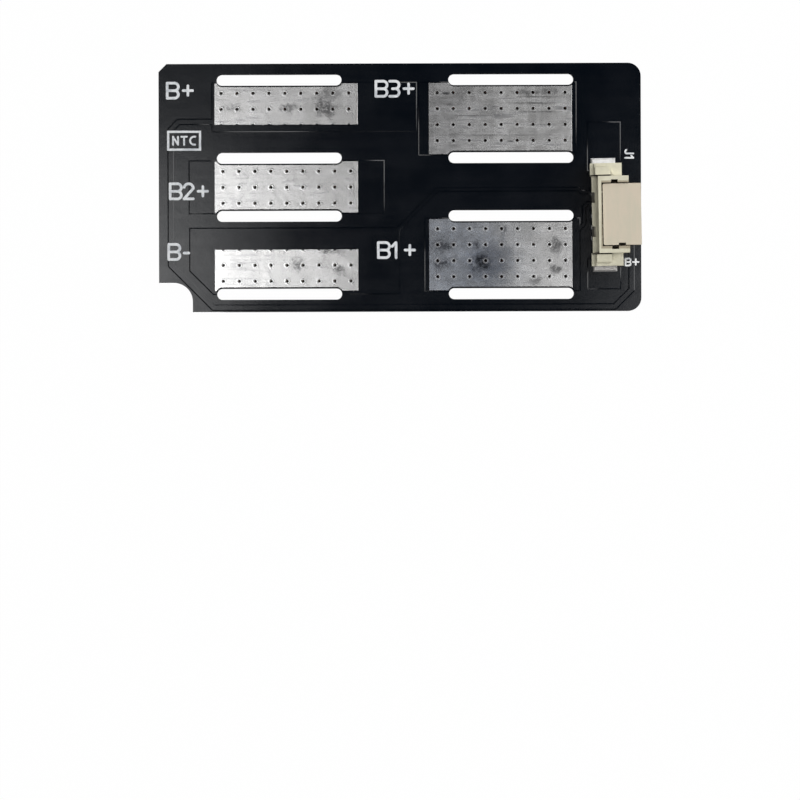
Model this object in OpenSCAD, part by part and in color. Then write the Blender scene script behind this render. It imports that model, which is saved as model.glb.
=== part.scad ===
// A tab board for a pack of four pouch cells in series. The cell tabs come up
// through the slots, fold over the tinned pads and are soldered down, and a
// side-entry connector at the right-hand edge carries the pack's own taps.
//
// Millimetres. Plan sizes are measured from the lower left corner of the
// laminate and moved at the end, so that the origin is the middle of the
// underside: +X runs towards the connector, +Y across the board and +Z out of
// the side that carries the pads.

/* [Board] */
// Length of the board, along X
board_l = 54.4; // [54.2:0.1:62]
// Width of the board, along Y
board_w = 28; // [27.4:0.1:34]
// Thickness over the mask coats where they cross copper
board_t = 1.6; // [0.8:0.1:2.4]
// Radius of the two corners at the connector's end
corner_r = 1.5; // [0.5:0.1:2.2]
// Chamfer of the upper left corner
corner_chamfer = 0.9; // [0.3:0.1:1.8]
// Length of the notch in the lower left corner, along X
notch_l = 3.8; // [2.6:0.1:4]
// Width of the notch in the lower left corner, along Y
notch_w = 3.3; // [2.6:0.1:3.6]
// Radius of the notch's inner corner
notch_r = 2.1; // [0.5:0.1:2.4]

/* [Slots] */
// Width of a tab slot
slot_w = 1.25; // [0.8:0.05:1.5]
// From the left edge to the slots of the left column
slot_inset = 6.54; // [6.4:0.02:7]
// From the slots of the right column to the right edge
slot_outset = 7.61; // [7.5:0.01:8]
// Between the slots of the left column and those of the right
column_gap = 12.05; // [11.5:0.05:13]
// From the upper and lower edges to the outermost rows of slots
row_inset = 1.925; // [1.8:0.005:2.3]
// Distance between the two inner rows of slots
row_gap = 6.55; // [6:0.05:7]
// How far the rows sit above the middle of the board
row_shift = 0.08; // [0:0.02:0.2]

/* [Pads] */
// How much longer a tinned pad is than its slot
pad_more = 2.05; // [1.3:0.05:2.3]
// Width of the two end pads, which have one slot each
pad_w = 4.66; // [4.46:0.1:4.96]
// How far a pad runs in past the edge of its slot
pad_over = 0.25; // [0.1:0.05:0.4]
// How far the left pads start before their slots
pad_lead_left = 0.24; // [0.1:0.02:0.4]
// How far the right pads start before their slots
pad_lead_right = 2.22; // [1.6:0.02:2.4]
// Bare laminate left between copper and a slot
slot_clear = 0.15; // [0.1:0.01:0.2]

/* [Layers] */
// Thickness of the copper foil
copper_t = 0.07; // [0.03:0.01:0.1]
// Thickness of the mask over copper
mask_t = 0.03; // [0.02:0.01:0.04]
// Thickness of the mask over bare laminate
mask_flat = 0.05; // [0.02:0.01:0.06]
// Thickness of the mask on the side of a copper edge
mask_side = 0.05; // [0.02:0.01:0.08]
// Thickness of the solder coat on a pad
tin_t = 0.04; // [0.02:0.01:0.08]
// Thickness of the printed ink over a raised patch of mask
ink_t = 0.02; // [0.01:0.01:0.04]

/* [Vias] */
// Diameter of a plated hole
via_d = 0.3; // [0.2:0.02:0.4]
// Thickness of the plating in a hole
via_wall = 0.05; // [0.03:0.01:0.08]
// Distance between plated holes, both ways
via_pitch = 1.8; // [1.6:0.05:1.82]
// From a pad's left edge to its first column of holes
via_inset_x = 0.97; // [0.7:0.01:1.2]
// From a pad's slot edge to its first row of holes
via_inset_y = 1.1; // [0.9:0.05:1.2]
// Least distance from a plated hole's middle to the far edges of its pad
via_edge = 0.25; // [0.22:0.01:0.3]
// Diameter of the dimple where mask closes a plated hole
dimple_d = 0.2; // [0.1:0.02:0.24]
// Depth of that dimple
dimple_depth = 0.08; // [0.04:0.01:0.1]

/* [Tracks] */
// Width of a tap track
track_w = 0.25; // [0.15:0.05:0.35]
// Width of the track that carries the pack's plus end
plus_track_w = 0.45; // [0.3:0.05:0.55]
// From the left edge to the plus track
plus_track_x = 1.35; // [1.1:0.05:1.6]
// From the lower and right edges to the plus track
plus_track_y = 0.5; // [0.4:0.05:0.6]
// Least copper to copper distance between two nets
isolation = 0.4; // [0.2:0.05:0.5]

/* [Connector] */
// How far the connector sits below the middle of the board
conn_drop = 3.1; // [2.8:0.05:3.4]
// Slight turn with which the connector was soldered, in degrees
conn_skew = 1; // [0:0.1:1.2]
// Distance between contacts
contact_pitch = 1.25; // [1.1:0.05:1.3]
// Width of a contact
contact_w = 0.35; // [0.25:0.05:0.45]
// Thickness of the contact strip
contact_t = 0.2; // [0.15:0.01:0.25]
// Outside width of the housing's frame
frame_w = 8.66; // [8.5:0.02:9]
// Length of the housing's frame, along X
frame_l = 3.45; // [3.3:0.05:3.7]
// Height of the frame
frame_h = 3.3; // [3:0.05:4]
// Thickness of the frame's rear wall
frame_rear = 0.38; // [0.3:0.02:0.5]
// Thickness of the housing's floor
floor_t = 0.45; // [0.35:0.05:0.6]
// Length of the low step behind the frame
step_l = 0.85; // [0.8:0.01:1.1]
// Height of that step
step_h = 2.2; // [1.9:0.05:2.6]
// Width of each ear
ear_w = 1.45; // [1.3:0.05:1.7]
// Length of each ear
ear_l = 3.55; // [3.4:0.05:3.9]
// Height of each ear
ear_h = 2.6; // [2.2:0.05:2.9]
// Width of the insert between the frame's side walls
insert_w = 6.92; // [6.8:0.02:7.1]
// Length of the insert, out to the edge of the board
insert_l = 4.3; // [4.2:0.01:4.6]
// Height of the insert's top above the board
insert_h = 3.05; // [2.8:0.05:3.4]
// Gap between the insert and the frame
insert_gap = 0.12; // [0.05:0.01:0.14]
// Length of a hold-down's foot
foot_l = 2.45; // [2.2:0.05:2.6]
// How far a hold-down's foot stands out of its ear
foot_w = 0.48; // [0.4:0.02:0.6]
// Thickness of a hold-down
foot_t = 0.2; // [0.15:0.01:0.25]
// Width of the solder that runs out round a foot
fillet = 0.16; // [0.1:0.02:0.2]

/* [Print] */
// Width of a printed stroke
stroke = 0.3; // [0.2:0.02:0.32]
// Height of the printed pad marks
mark_h = 2; // [1.8:0.05:2.1]
// Length of the thermistor's printed box
thermistor_l = 3.84; // [3.6:0.02:4]
// Width of that box
thermistor_w = 2.26; // [2:0.02:2.3]

/* [Hidden] */
$fn = 48;
eps = 0.01;

// Terminals, in the order of the connector's contacts
B_PLUS = 0;
B3_PLUS = 1;
B2_PLUS = 2;
B1_PLUS = 3;
B_MINUS = 4;
TERMINALS = [B_PLUS, B3_PLUS, B2_PLUS, B1_PLUS, B_MINUS];

// Heights of the layers
copper_top = board_t - mask_t;
core_top = copper_top - copper_t;
core_bottom = mask_t + copper_t;
relief = copper_t + mask_t - mask_flat;
flat_top = board_t - relief;
// Mask that closes a plated hole, measured from the board's face
plug_t = dimple_depth + mask_flat;

// Rows and columns of slots
mid_y = board_w / 2 + row_shift;
row_reach = board_w / 2 - row_inset;
row_y = [
    mid_y - row_reach,
    mid_y - row_gap / 2,
    mid_y + row_gap / 2,
    mid_y + row_reach,
];
slot_l = (board_l - slot_inset - column_gap - slot_outset) / 2;
function column_x(column) = slot_inset + column * (slot_l + column_gap);
function below_slot(row) = row_y[row] - slot_w / 2;
function above_slot(row) = row_y[row] + slot_w / 2;

// A plan rectangle is [left, low, right, high]
function widened(box, by) = [box[0] - by[0], box[1] - by[1], box[2] + by[2], box[3] + by[3]];

// The tinned pads: each lies beside one slot or between two
pad_column = [0, 1, 0, 1, 0];
pad_low = [
    below_slot(3) + pad_over - pad_w,
    above_slot(2) - pad_over,
    above_slot(1) - pad_over,
    above_slot(0) - pad_over,
    above_slot(0) - pad_over,
];
pad_high = [
    below_slot(3) + pad_over,
    below_slot(3) + pad_over,
    below_slot(2) + pad_over,
    below_slot(1) + pad_over,
    above_slot(0) - pad_over + pad_w,
];
pad_lead = [pad_lead_left, pad_lead_right];
pad_l = slot_l + pad_more;
function pad_x(terminal) = column_x(pad_column[terminal]) - pad_lead[pad_column[terminal]];
function pad_box(terminal) =
    [pad_x(terminal), pad_low[terminal], pad_x(terminal) + pad_l, pad_high[terminal]];

// How far the copper of the underside keeps from the board's edge
back_edge = 0.25;

// How far the copper runs out past each pad: left, low, right, high
b3_lead = 1.05;
b1_lead = 0.4;
lane_between = 3.02;
pad_gap = pad_x(B3_PLUS) - pad_x(B_PLUS) - pad_l;
b_plus_run = pad_gap - b3_lead - isolation;
b_minus_run = pad_gap - b1_lead - lane_between;
front_margin = [
    [0.2, 0.7, b_plus_run, 0],
    [b3_lead, 0, 0.4, 0],
    [2.8, 0, 2.9, 0],
    [b1_lead, 0, 0.8, 0],
    [2.75, 0.3, b_minus_run, 2.35],
];
back_top = board_w - back_edge - pad_high[B_PLUS];
back_margin = [
    [3.5, 2.35, 3, back_top],
    [b3_lead, 0, 0.65, 0],
    [3.4, 0, 2.9, 0],
    [0.35, 0, 0.65, 0],
    [2.8, 0.2, 3.2, 2.2],
];
function front_box(terminal) = widened(pad_box(terminal), front_margin[terminal]);
function back_box(terminal) = widened(pad_box(terminal), back_margin[terminal]);
minus_chamfer = 2.6;

// Plated holes of a pad, counted from its slot edge. An end pad has one more
// row beyond its far edge, where mask closes the holes
via_columns = 1 + floor((pad_l - via_inset_x - via_edge) / via_pitch);
end_reach = 0.7;
row_room = [end_reach, 0, 0, 0, end_reach];
function rows_within(terminal, room) =
    1 + floor((pad_high[terminal] - pad_low[terminal] + room - via_inset_y - via_edge) / via_pitch);
via_rows = [for (terminal = TERMINALS) rows_within(terminal, row_room[terminal])];
open_rows = [for (terminal = TERMINALS) rows_within(terminal, 0)];
function via_y(terminal, row) =
    terminal == B_MINUS
        ? pad_low[terminal] + via_inset_y + row * via_pitch
        : pad_high[terminal] - via_inset_y - row * via_pitch;
// The holes of the plus end's pad stand a little further left
via_shift = [-0.2, 0, 0, 0, 0];
function pad_vias(terminal, first_row, last_row) = [
    for (row = [first_row:last_row])
        for (column = [0:via_columns - 1])
            [
                pad_x(terminal) + via_inset_x + via_shift[terminal] + column * via_pitch,
                via_y(terminal, row),
            ],
];

// The connector: its own frame has x = 0 at the edge of the board, y = 0 in
// its middle and z = 0 on the mask
conn_x = board_l - insert_w / 2 * sin(conn_skew);
conn_y = board_w / 2 - conn_drop;
contact_count = len(TERMINALS);
frame_x = -insert_l - insert_gap - frame_rear;
step_x = frame_x - step_l;
// The rear step starts a little further in than the ears
step_inset = 0.15;
rear_x = step_x + step_inset;
frame_end = frame_x + frame_l;
frame_side = frame_w / 2;
frame_inner = insert_w / 2 + insert_gap;
ear_side = frame_side + ear_w;
foot_side = ear_side + foot_w;
foot_x = step_x + 0.3;
toe_x = rear_x + 0.15;
toe_fillet = 0.08;
riser_x = frame_x - contact_t;
arm_z = 1.3;
function contact_y(contact) = (contact - (contact_count - 1) / 2) * contact_pitch;

// Copper under the connector, in plan
tail_pad_l = 1.01;
tail_pad_w = 0.6;
tail_pad_lead = 0.02;
tail_pad_x = conn_x + toe_x - toe_fillet - tail_pad_lead;
tail_pad_mid = tail_pad_x + tail_pad_l / 2;
tap_via_pitch = 0.75;
tap_via_x = tail_pad_x + tail_pad_l;
tap_via_count = 3;
tap_land_r = 0.26;
function tail_y(terminal) = conn_y + contact_y(terminal);
function tap_vias(terminal) = [
    for (i = [0:tap_via_count - 1]) [tap_via_x + i * tap_via_pitch, tail_y(terminal)],
];
function has_tap_vias(terminal) = terminal == B3_PLUS || terminal == B2_PLUS;
function closed_vias(terminal) = concat(
    via_rows[terminal] > open_rows[terminal]
        ? pad_vias(terminal, open_rows[terminal], via_rows[terminal] - 1)
        : [],
    has_tap_vias(terminal) ? tap_vias(terminal) : []
);
function open_vias(terminal) = pad_vias(terminal, 0, open_rows[terminal] - 1);
function all_vias(terminal) = concat(open_vias(terminal), closed_vias(terminal));

// Copper under each hold-down: it starts under the ear and runs out past it
anchor_x = conn_x + step_x - 0.25;
anchor_under = 0.75;
anchor_out_upper = 4.55;
anchor_out_lower = 2.55;
anchor_box = [
    [anchor_x, conn_y + ear_side - anchor_under, anchor_x + ear_l, conn_y + ear_side + anchor_out_upper],
    [anchor_x, conn_y - ear_side - anchor_out_lower, anchor_x + ear_l, conn_y - ear_side + anchor_under],
];

// Tracks, each a run of points in plan. The plus track goes round the notch
// and along the lower edge, and comes back up beside the connector
plus_start_y = pad_low[B_PLUS] + 0.35;
plus_turn = 0.9;
notch_clear = 0.78;
notch_pass = notch_l + notch_w - (2 - sqrt(2)) * notch_r + notch_clear;
plus_right = board_l - 1.1;
plus_corner = 1.9;
plus_route = [
    [front_box(B_PLUS)[0], plus_start_y],
    [plus_track_x + plus_turn, plus_start_y],
    [plus_track_x, plus_start_y - plus_turn],
    [plus_track_x, notch_pass - plus_track_x],
    [notch_pass - plus_track_y, plus_track_y],
    [plus_right - plus_corner, plus_track_y],
    [plus_right, plus_track_y + plus_corner],
    [plus_right, tail_y(B_PLUS) - plus_turn],
    [plus_right - plus_turn, tail_y(B_PLUS)],
    [tail_pad_mid, tail_y(B_PLUS)],
];

// The track of the first tap climbs in the lane beside the connector
lane_x = tail_pad_x - 0.92;
b1_turn = 0.4;
b1_start_x = front_box(B1_PLUS)[2] - track_w;
b1_start_y = pad_high[B1_PLUS] - 1.4;
b1_route = [
    [b1_start_x, b1_start_y],
    [lane_x, b1_start_y + lane_x - b1_start_x],
    [lane_x, tail_y(B1_PLUS) - b1_turn],
    [lane_x + b1_turn, tail_y(B1_PLUS)],
    [tail_pad_mid, tail_y(B1_PLUS)],
];

// The minus track and the second tap's both run between the inner slots
run_y = mid_y - 0.33;
minus_turn_x = lane_x - 0.3;
minus_start = [front_box(B_MINUS)[2] - 0.3, front_box(B_MINUS)[3] - 0.3];
minus_route = [
    minus_start,
    [minus_start[0] + run_y - minus_start[1], run_y],
    [minus_turn_x - abs(run_y - tail_y(B_MINUS)), run_y],
    [minus_turn_x, tail_y(B_MINUS)],
    [tail_pad_mid, tail_y(B_MINUS)],
];

b2_end_x = tap_via_x - 0.35;
b2_route = [
    [back_box(B2_PLUS)[2] - track_w, run_y],
    [b2_end_x - run_y + tail_y(B2_PLUS), run_y],
    [b2_end_x, tail_y(B2_PLUS)],
    [tap_via_x, tail_y(B2_PLUS)],
];

b3_run_y = pad_low[B3_PLUS] + track_w / 2;
b3_right = board_l - 1.95;
b3_corner = 1.45;
b3_end_x = tap_via_x + (tap_via_count - 1) * tap_via_pitch;
b3_route = [
    [back_box(B3_PLUS)[2] - track_w, b3_run_y],
    [b3_right - b3_corner, b3_run_y],
    [b3_right, b3_run_y - b3_corner],
    [b3_right, tail_y(B3_PLUS) + b3_right - b3_end_x],
    [b3_end_x, tail_y(B3_PLUS)],
];

front_route = [plus_route, [], [], b1_route, minus_route];
back_route = [[], b3_route, b2_route, [], []];
front_track_w = [plus_track_w, 0, 0, track_w, track_w];

// --- Plan shapes --------------------------------------------------------

module rectangle(box, grow = 0) {
    translate([box[0] - grow, box[1] - grow])
        square([box[2] - box[0] + 2 * grow, box[3] - box[1] + 2 * grow]);
}

// A straight run with round ends, from a to b
module segment(a, b, width) {
    run = norm(b - a);
    translate(a)
        rotate(atan2(b[1] - a[1], b[0] - a[0])) {
            translate([0, -width / 2])
                square([run, width]);
            circle(d = width);
            translate([run, 0])
                circle(d = width);
        }
}

module track(points, width) {
    for (i = [0:1:len(points) - 2])
        segment(points[i], points[i + 1], width);
}

module slots(grow = 0) {
    reach = slot_w / 2;
    for (column = [0, 1], y = row_y)
        segment([column_x(column) + reach, y], [column_x(column) + slot_l - reach, y], slot_w + 2 * grow);
}

module outer_corner_cut(r) {
    difference() {
        square([r + eps, r + eps]);
        circle(r);
    }
}

module notch_shape(grow = 0) {
    union() {
        translate([-eps, -eps])
            square([notch_l - notch_r + eps, notch_w + grow + eps]);
        translate([-eps, -eps])
            square([notch_l + grow + eps, notch_w - notch_r + eps]);
        translate([notch_l - notch_r, notch_w - notch_r])
            circle(notch_r + grow);
    }
}

module outline() {
    difference() {
        square([board_l, board_w]);
        notch_shape();
        translate([board_l - corner_r, board_w - corner_r])
            outer_corner_cut(corner_r);
        translate([board_l - corner_r, corner_r])
            mirror([0, 1])
                outer_corner_cut(corner_r);
        polygon([
            [-eps, board_w + eps],
            [-eps, board_w - corner_chamfer],
            [0, board_w - corner_chamfer],
            [corner_chamfer, board_w],
            [corner_chamfer, board_w + eps],
        ]);
    }
}

// The pour of the minus end keeps clear of the plus track at the notch
module front_pour(terminal, grow) {
    box = front_box(terminal);
    difference() {
        rectangle(box, grow);
        if (terminal == B_MINUS)
            polygon([
                [box[0] - grow - eps, box[1] - grow - eps],
                [box[0] - grow - eps, box[1] + minus_chamfer - grow * (sqrt(2) - 1)],
                [box[0] - grow, box[1] + minus_chamfer - grow * (sqrt(2) - 1)],
                [box[0] + minus_chamfer - grow * (sqrt(2) - 1), box[1] - grow],
                [box[0] + minus_chamfer - grow * (sqrt(2) - 1), box[1] - grow - eps],
            ]);
    }
}

module tail_pad(terminal, grow = 0) {
    y = tail_y(terminal);
    rectangle([tail_pad_x, y - tail_pad_w / 2, tail_pad_x + tail_pad_l, y + tail_pad_w / 2], grow);
}

module tap_land(terminal, grow) {
    segment(
        [tap_via_x, tail_y(terminal)],
        [tap_via_x + (tap_via_count - 1) * tap_via_pitch, tail_y(terminal)],
        2 * (tap_land_r + grow)
    );
}

module front_copper(terminal, grow = 0) {
    difference() {
        union() {
            front_pour(terminal, grow);
            track(front_route[terminal], front_track_w[terminal] + 2 * grow);
            tail_pad(terminal, grow);
            if (has_tap_vias(terminal))
                tap_land(terminal, grow);
        }
        slots(slot_clear - grow);
    }
}

module back_copper(terminal, grow = 0) {
    difference() {
        union() {
            rectangle(back_box(terminal), grow);
            track(back_route[terminal], track_w + 2 * grow);
            if (has_tap_vias(terminal))
                tap_land(terminal, grow);
        }
        slots(slot_clear - grow);
        notch_shape(back_edge - grow);
    }
}

module pad_window(terminal) {
    difference() {
        rectangle(pad_box(terminal));
        slots(slot_clear);
    }
}

// Where a hold-down is soldered: the foot with the solder's run-out round it
module anchor_window(upper) {
    translate([conn_x, conn_y])
        rotate(conn_skew)
            mirror([0, upper ? 0 : 1])
                rectangle([foot_x - fillet, ear_side, foot_x + foot_l + fillet, foot_side + fillet]);
}

// --- Board --------------------------------------------------------------

module holes(points, diameter, bottom, top) {
    for (point = points)
        translate([point[0], point[1], bottom])
            cylinder(d = diameter, h = top - bottom);
}

// Laminate and its mask coats, which follow the copper as low plateaus
module coated_laminate() {
    translate([0, 0, relief])
        linear_extrude(board_t - 2 * relief)
            difference() {
                outline();
                slots();
            }
    for (terminal = TERMINALS) {
        translate([0, 0, flat_top])
            linear_extrude(relief)
                front_copper(terminal, mask_side);
        linear_extrude(relief)
            back_copper(terminal, mask_side);
    }
    for (box = anchor_box)
        translate([0, 0, flat_top])
            linear_extrude(relief)
                rectangle(box, mask_side);
}

module board() {
    color([0.06, 0.07, 0.1])
        difference() {
            coated_laminate();
            for (terminal = TERMINALS) {
                drilled_copper(terminal);
                translate([0, 0, copper_top])
                    linear_extrude(mask_t + eps) {
                        pad_window(terminal);
                        tail_pad(terminal);
                    }
                holes(open_vias(terminal), via_d, plug_t, board_t + eps);
                holes(closed_vias(terminal), via_d, plug_t, board_t - plug_t);
                holes(all_vias(terminal), dimple_d, -eps, dimple_depth);
                holes(closed_vias(terminal), dimple_d, board_t - dimple_depth, board_t + eps);
            }
            for (upper = [false, true]) {
                anchor_body(upper);
                translate([0, 0, copper_top])
                    linear_extrude(mask_t + eps)
                        anchor_window(upper);
            }
        }
}

// --- Copper and tin -----------------------------------------------------

// Front foil, back foil and the barrels that join them
module drilled_copper(terminal) {
    difference() {
        union() {
            translate([0, 0, core_top])
                linear_extrude(copper_t)
                    front_copper(terminal);
            translate([0, 0, mask_t])
                linear_extrude(copper_t)
                    back_copper(terminal);
            holes(all_vias(terminal), via_d + 2 * via_wall, core_bottom - copper_t / 2, core_top + copper_t / 2);
        }
        holes(all_vias(terminal), via_d, 0, board_t);
    }
}

module copper(terminal) {
    color([0.72, 0.43, 0.27])
        drilled_copper(terminal);
}

module anchor_body(upper) {
    translate([0, 0, core_top])
        linear_extrude(copper_t)
            rectangle(anchor_box[upper ? 0 : 1]);
}

module anchor_pad(upper) {
    color([0.72, 0.43, 0.27])
        anchor_body(upper);
}

// The solder coat, with the plated holes left open
module tin(terminal) {
    color([0.78, 0.79, 0.8])
        difference() {
            translate([0, 0, copper_top])
                linear_extrude(tin_t)
                    pad_window(terminal);
            holes(all_vias(terminal), via_d, copper_top - eps, copper_top + tin_t + eps);
        }
}

// --- Print --------------------------------------------------------------

// Half of a ring, its open side to the left
module half_ring(r, width) {
    difference() {
        circle(r + width / 2);
        circle(r - width / 2);
        translate([-2 * r, 0])
            square(4 * r, center = true);
    }
}

// Marks are drawn with their lower left stroke end at the origin, h high.
// The width of each is a share of its height
B_SHARE = 0.74;
DIGIT_SHARE = 0.62;
ONE_SHARE = 0.26;
SIGN_SHARE = 0.62;
N_SHARE = 0.62;
T_SHARE = 0.68;
J_SHARE = 0.44;

module mark_b(h, width) {
    r = h / 4;
    flat = B_SHARE * h - r;
    segment([0, 0], [0, h], width);
    for (y = [0, h / 2, h])
        segment([0, y], [flat, y], width);
    for (y = [r, 3 * r])
        translate([flat, y])
            half_ring(r, width);
}

module mark_3(h, width) {
    r = h / 4;
    flat = DIGIT_SHARE * h - r;
    for (y = [0, h])
        segment([0, y], [flat, y], width);
    segment([flat / 2, h / 2], [flat, h / 2], width);
    for (y = [r, 3 * r])
        translate([flat, y])
            half_ring(r, width);
}

module mark_2(h, width) {
    r = DIGIT_SHARE * h / 2;
    translate([r, h - r])
        rotate(90)
            half_ring(r, width);
    segment([2 * r, h - r], [0, 0], width);
    segment([0, 0], [2 * r, 0], width);
}

module mark_1(h, width) {
    w = ONE_SHARE * h;
    segment([w, 0], [w, h], width);
    segment([w, h], [0, h - w], width);
}

module mark_plus(h, width) {
    reach = SIGN_SHARE * h / 2;
    segment([0, h / 2], [2 * reach, h / 2], width);
    segment([reach, h / 2 - reach], [reach, h / 2 + reach], width);
}

module mark_minus(h, width) {
    segment([0, h / 2], [SIGN_SHARE * h / 2, h / 2], width);
}

module mark_n(h, width) {
    w = N_SHARE * h;
    segment([0, 0], [0, h], width);
    segment([0, h], [w, 0], width);
    segment([w, 0], [w, h], width);
}

module mark_t(h, width) {
    w = T_SHARE * h;
    segment([0, h], [w, h], width);
    segment([w / 2, 0], [w / 2, h], width);
}

module mark_c(h, width) {
    r = h / 2;
    lip = h / 8;
    translate([r, r])
        rotate(180)
            half_ring(r, width);
    for (y = [0, h])
        segment([r, y], [r + lip, y], width);
}

module mark_j(h, width) {
    r = J_SHARE * h / 2;
    segment([2 * r, h], [2 * r, r], width);
    translate([r, r])
        rotate(-90)
            half_ring(r, width);
}

// The marks of the pads, beside each pad's free end
mark_run = mark_h - stroke;
letter_gap = 0.3;
plus_gap = 0.55;
minus_gap = 0.47;
to_digit = B_SHARE * mark_run + letter_gap;
past_digit = to_digit + DIGIT_SHARE * mark_run + plus_gap;
minus_drop = 0.13;
b_mark_x = 0.83;
b2_mark_x = 1.13;
minus_mark_x = 0.95;
one_gap = 1.03;
past_one = to_digit + ONE_SHARE * mark_run + one_gap;
sign_w = SIGN_SHARE * mark_run + stroke;
// The middle marks stand a little to the right of the middle between pads
gap_mid = pad_x(B_PLUS) + pad_l + pad_gap / 2;
b3_mark_shift = 0.17;
b1_mark_shift = 0.32;
b3_mark_x = gap_mid + b3_mark_shift - (past_digit + sign_w) / 2;
b1_mark_x = gap_mid + b1_mark_shift - (past_one + sign_w) / 2;
// How far the lower edge of a mark lies under its pad's upper edge
end_mark_drop = 1.78;
b3_mark_drop = 1.64;
low_mark_drop = 1.23;
b1_mark_drop = 1.1;
// How far the middle of the second tap's mark lies under the slots' middle
b2_mark_drop = 0.44;

// A mark's place: its lower left corner, outside the strokes
module mark_at(x, y) {
    translate([x + stroke / 2, y + stroke / 2])
        children();
}

module pad_marks() {
    mark_at(b_mark_x, pad_high[B_PLUS] - end_mark_drop) {
        mark_b(mark_run, stroke);
        translate([B_SHARE * mark_run + plus_gap, 0])
            mark_plus(mark_run, stroke);
    }
    mark_at(b2_mark_x, mid_y - mark_h / 2 - b2_mark_drop) {
        mark_b(mark_run, stroke);
        translate([to_digit, 0])
            mark_2(mark_run, stroke);
        translate([past_digit, 0])
            mark_plus(mark_run, stroke);
    }
    mark_at(minus_mark_x, pad_high[B_MINUS] - low_mark_drop) {
        mark_b(mark_run, stroke);
        translate([B_SHARE * mark_run + minus_gap, -minus_drop])
            mark_minus(mark_run, stroke);
    }
    mark_at(b3_mark_x, pad_high[B3_PLUS] - b3_mark_drop) {
        mark_b(mark_run, stroke);
        translate([to_digit, 0])
            mark_3(mark_run, stroke);
        translate([past_digit, 0])
            mark_plus(mark_run, stroke);
    }
    mark_at(b1_mark_x, pad_high[B_MINUS] - b1_mark_drop) {
        mark_b(mark_run, stroke);
        translate([to_digit, 0])
            mark_1(mark_run, stroke);
        translate([past_one, 0])
            mark_plus(mark_run, stroke);
    }
}

// The thermistor's place: a box with its usual three letters
thermistor_x = 0.95;
thermistor_y = mid_y + 4.14;
thermistor_h = 0.9;
thermistor_stroke = 0.21;
box_stroke = 0.25;
thermistor_gap = 0.38;

module thermistor_mark() {
    translate([thermistor_x, thermistor_y]) {
        difference() {
            square([thermistor_l, thermistor_w]);
            translate([box_stroke, box_stroke])
                square([thermistor_l - 2 * box_stroke, thermistor_w - 2 * box_stroke]);
        }
        n_w = N_SHARE * thermistor_h;
        t_w = T_SHARE * thermistor_h;
        c_w = thermistor_h * 5 / 8;
        n_x = (thermistor_l - n_w - t_w - c_w - 2 * thermistor_gap) / 2;
        translate([n_x, (thermistor_w - thermistor_h) / 2]) {
            mark_n(thermistor_h, thermistor_stroke);
            translate([n_w + thermistor_gap, 0])
                mark_t(thermistor_h, thermistor_stroke);
            translate([n_w + t_w + 2 * thermistor_gap, 0])
                mark_c(thermistor_h, thermistor_stroke);
        }
    }
}

// The connector's own reference and the mark of its plus end
small_stroke = 0.19;
reference_h = 0.92;
reference_inset = 1.78;
reference_gap = 0.25;
reference_rise = 1.48;
plus_end_h = 0.78;
plus_end_sign = 1;
plus_end_gap = 0.27;

module connector_marks() {
    translate([board_l - reference_inset, conn_y + ear_side + reference_rise])
        rotate(-90) {
            mark_j(reference_h, small_stroke);
            translate([J_SHARE * reference_h + reference_gap, 0])
                mark_1(reference_h, small_stroke);
        }
    translate([board_l - reference_inset, conn_y - ear_side]) {
        mark_b(plus_end_h, small_stroke);
        translate([B_SHARE * plus_end_h + plus_end_gap, (plus_end_h - plus_end_sign) / 2])
            mark_plus(plus_end_sign, small_stroke);
    }
}

module legend_ink() {
    color([0.88, 0.9, 0.92])
        difference() {
            translate([0, 0, flat_top])
                linear_extrude(relief + ink_t) {
                    pad_marks();
                    thermistor_mark();
                    connector_marks();
                }
            for (terminal = TERMINALS)
                translate([0, 0, flat_top - eps])
                    linear_extrude(relief + eps)
                        front_copper(terminal, mask_side);
        }
}

// --- Connector ----------------------------------------------------------

// The connector's own frame, seated on the mask
module at_connector() {
    translate([conn_x, conn_y, board_t])
        rotate(conn_skew)
            children();
}

module block(low, high) {
    translate(low)
        cube(high - low);
}

// Upper end of the connector, and its mirror image at the lower end
module both_ends() {
    children();
    mirror([0, 1, 0])
        children();
}

module each_contact() {
    for (contact = [0:contact_count - 1])
        translate([0, contact_y(contact), 0])
            children();
}

half_contact = contact_w / 2;

// Raised pad on an ear, the groove beside it and the ear's low rear edge
ear_groove = 0.15;
ear_groove_depth = 0.7;
ear_pad_x = step_x + 0.58;
ear_pad_l = 1.7;
ear_pad_w = 0.86;
ear_pad_h = 0.32;
ear_rear_l = 0.48;
ear_rear_drop = 0.35;
upright_h = 1.6;

// Floor under the insert, drawn in at its sides and at the board's edge
tongue_inset = 0.3;
tongue_end = 0.4;

// Recesses in the rear step, one on each side of the middle
recess_near = 1.34;
recess_w = 1.16;
recess_l = 0.35;
recess_z = 0.8;

// Pockets in the frame's side walls and the insert's catches in them
pocket_x = frame_x + 1.45;
pocket_l = 0.76;
pocket_w = 0.34;
pocket_z = 1.4;
catch_clear = 0.1;
catch_w = 0.12;
catch_h = 0.6;

// Running clearance round a contact in the housing
contact_clear = 0.05;

// Passages in the insert, its rear corners and the relief in its plus side
passage_w = 0.6;
passage_h = 0.8;
insert_r = 0.22;
relief_l = 0.8;
relief_w = 0.24;
relief_z = 1.6;

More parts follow.
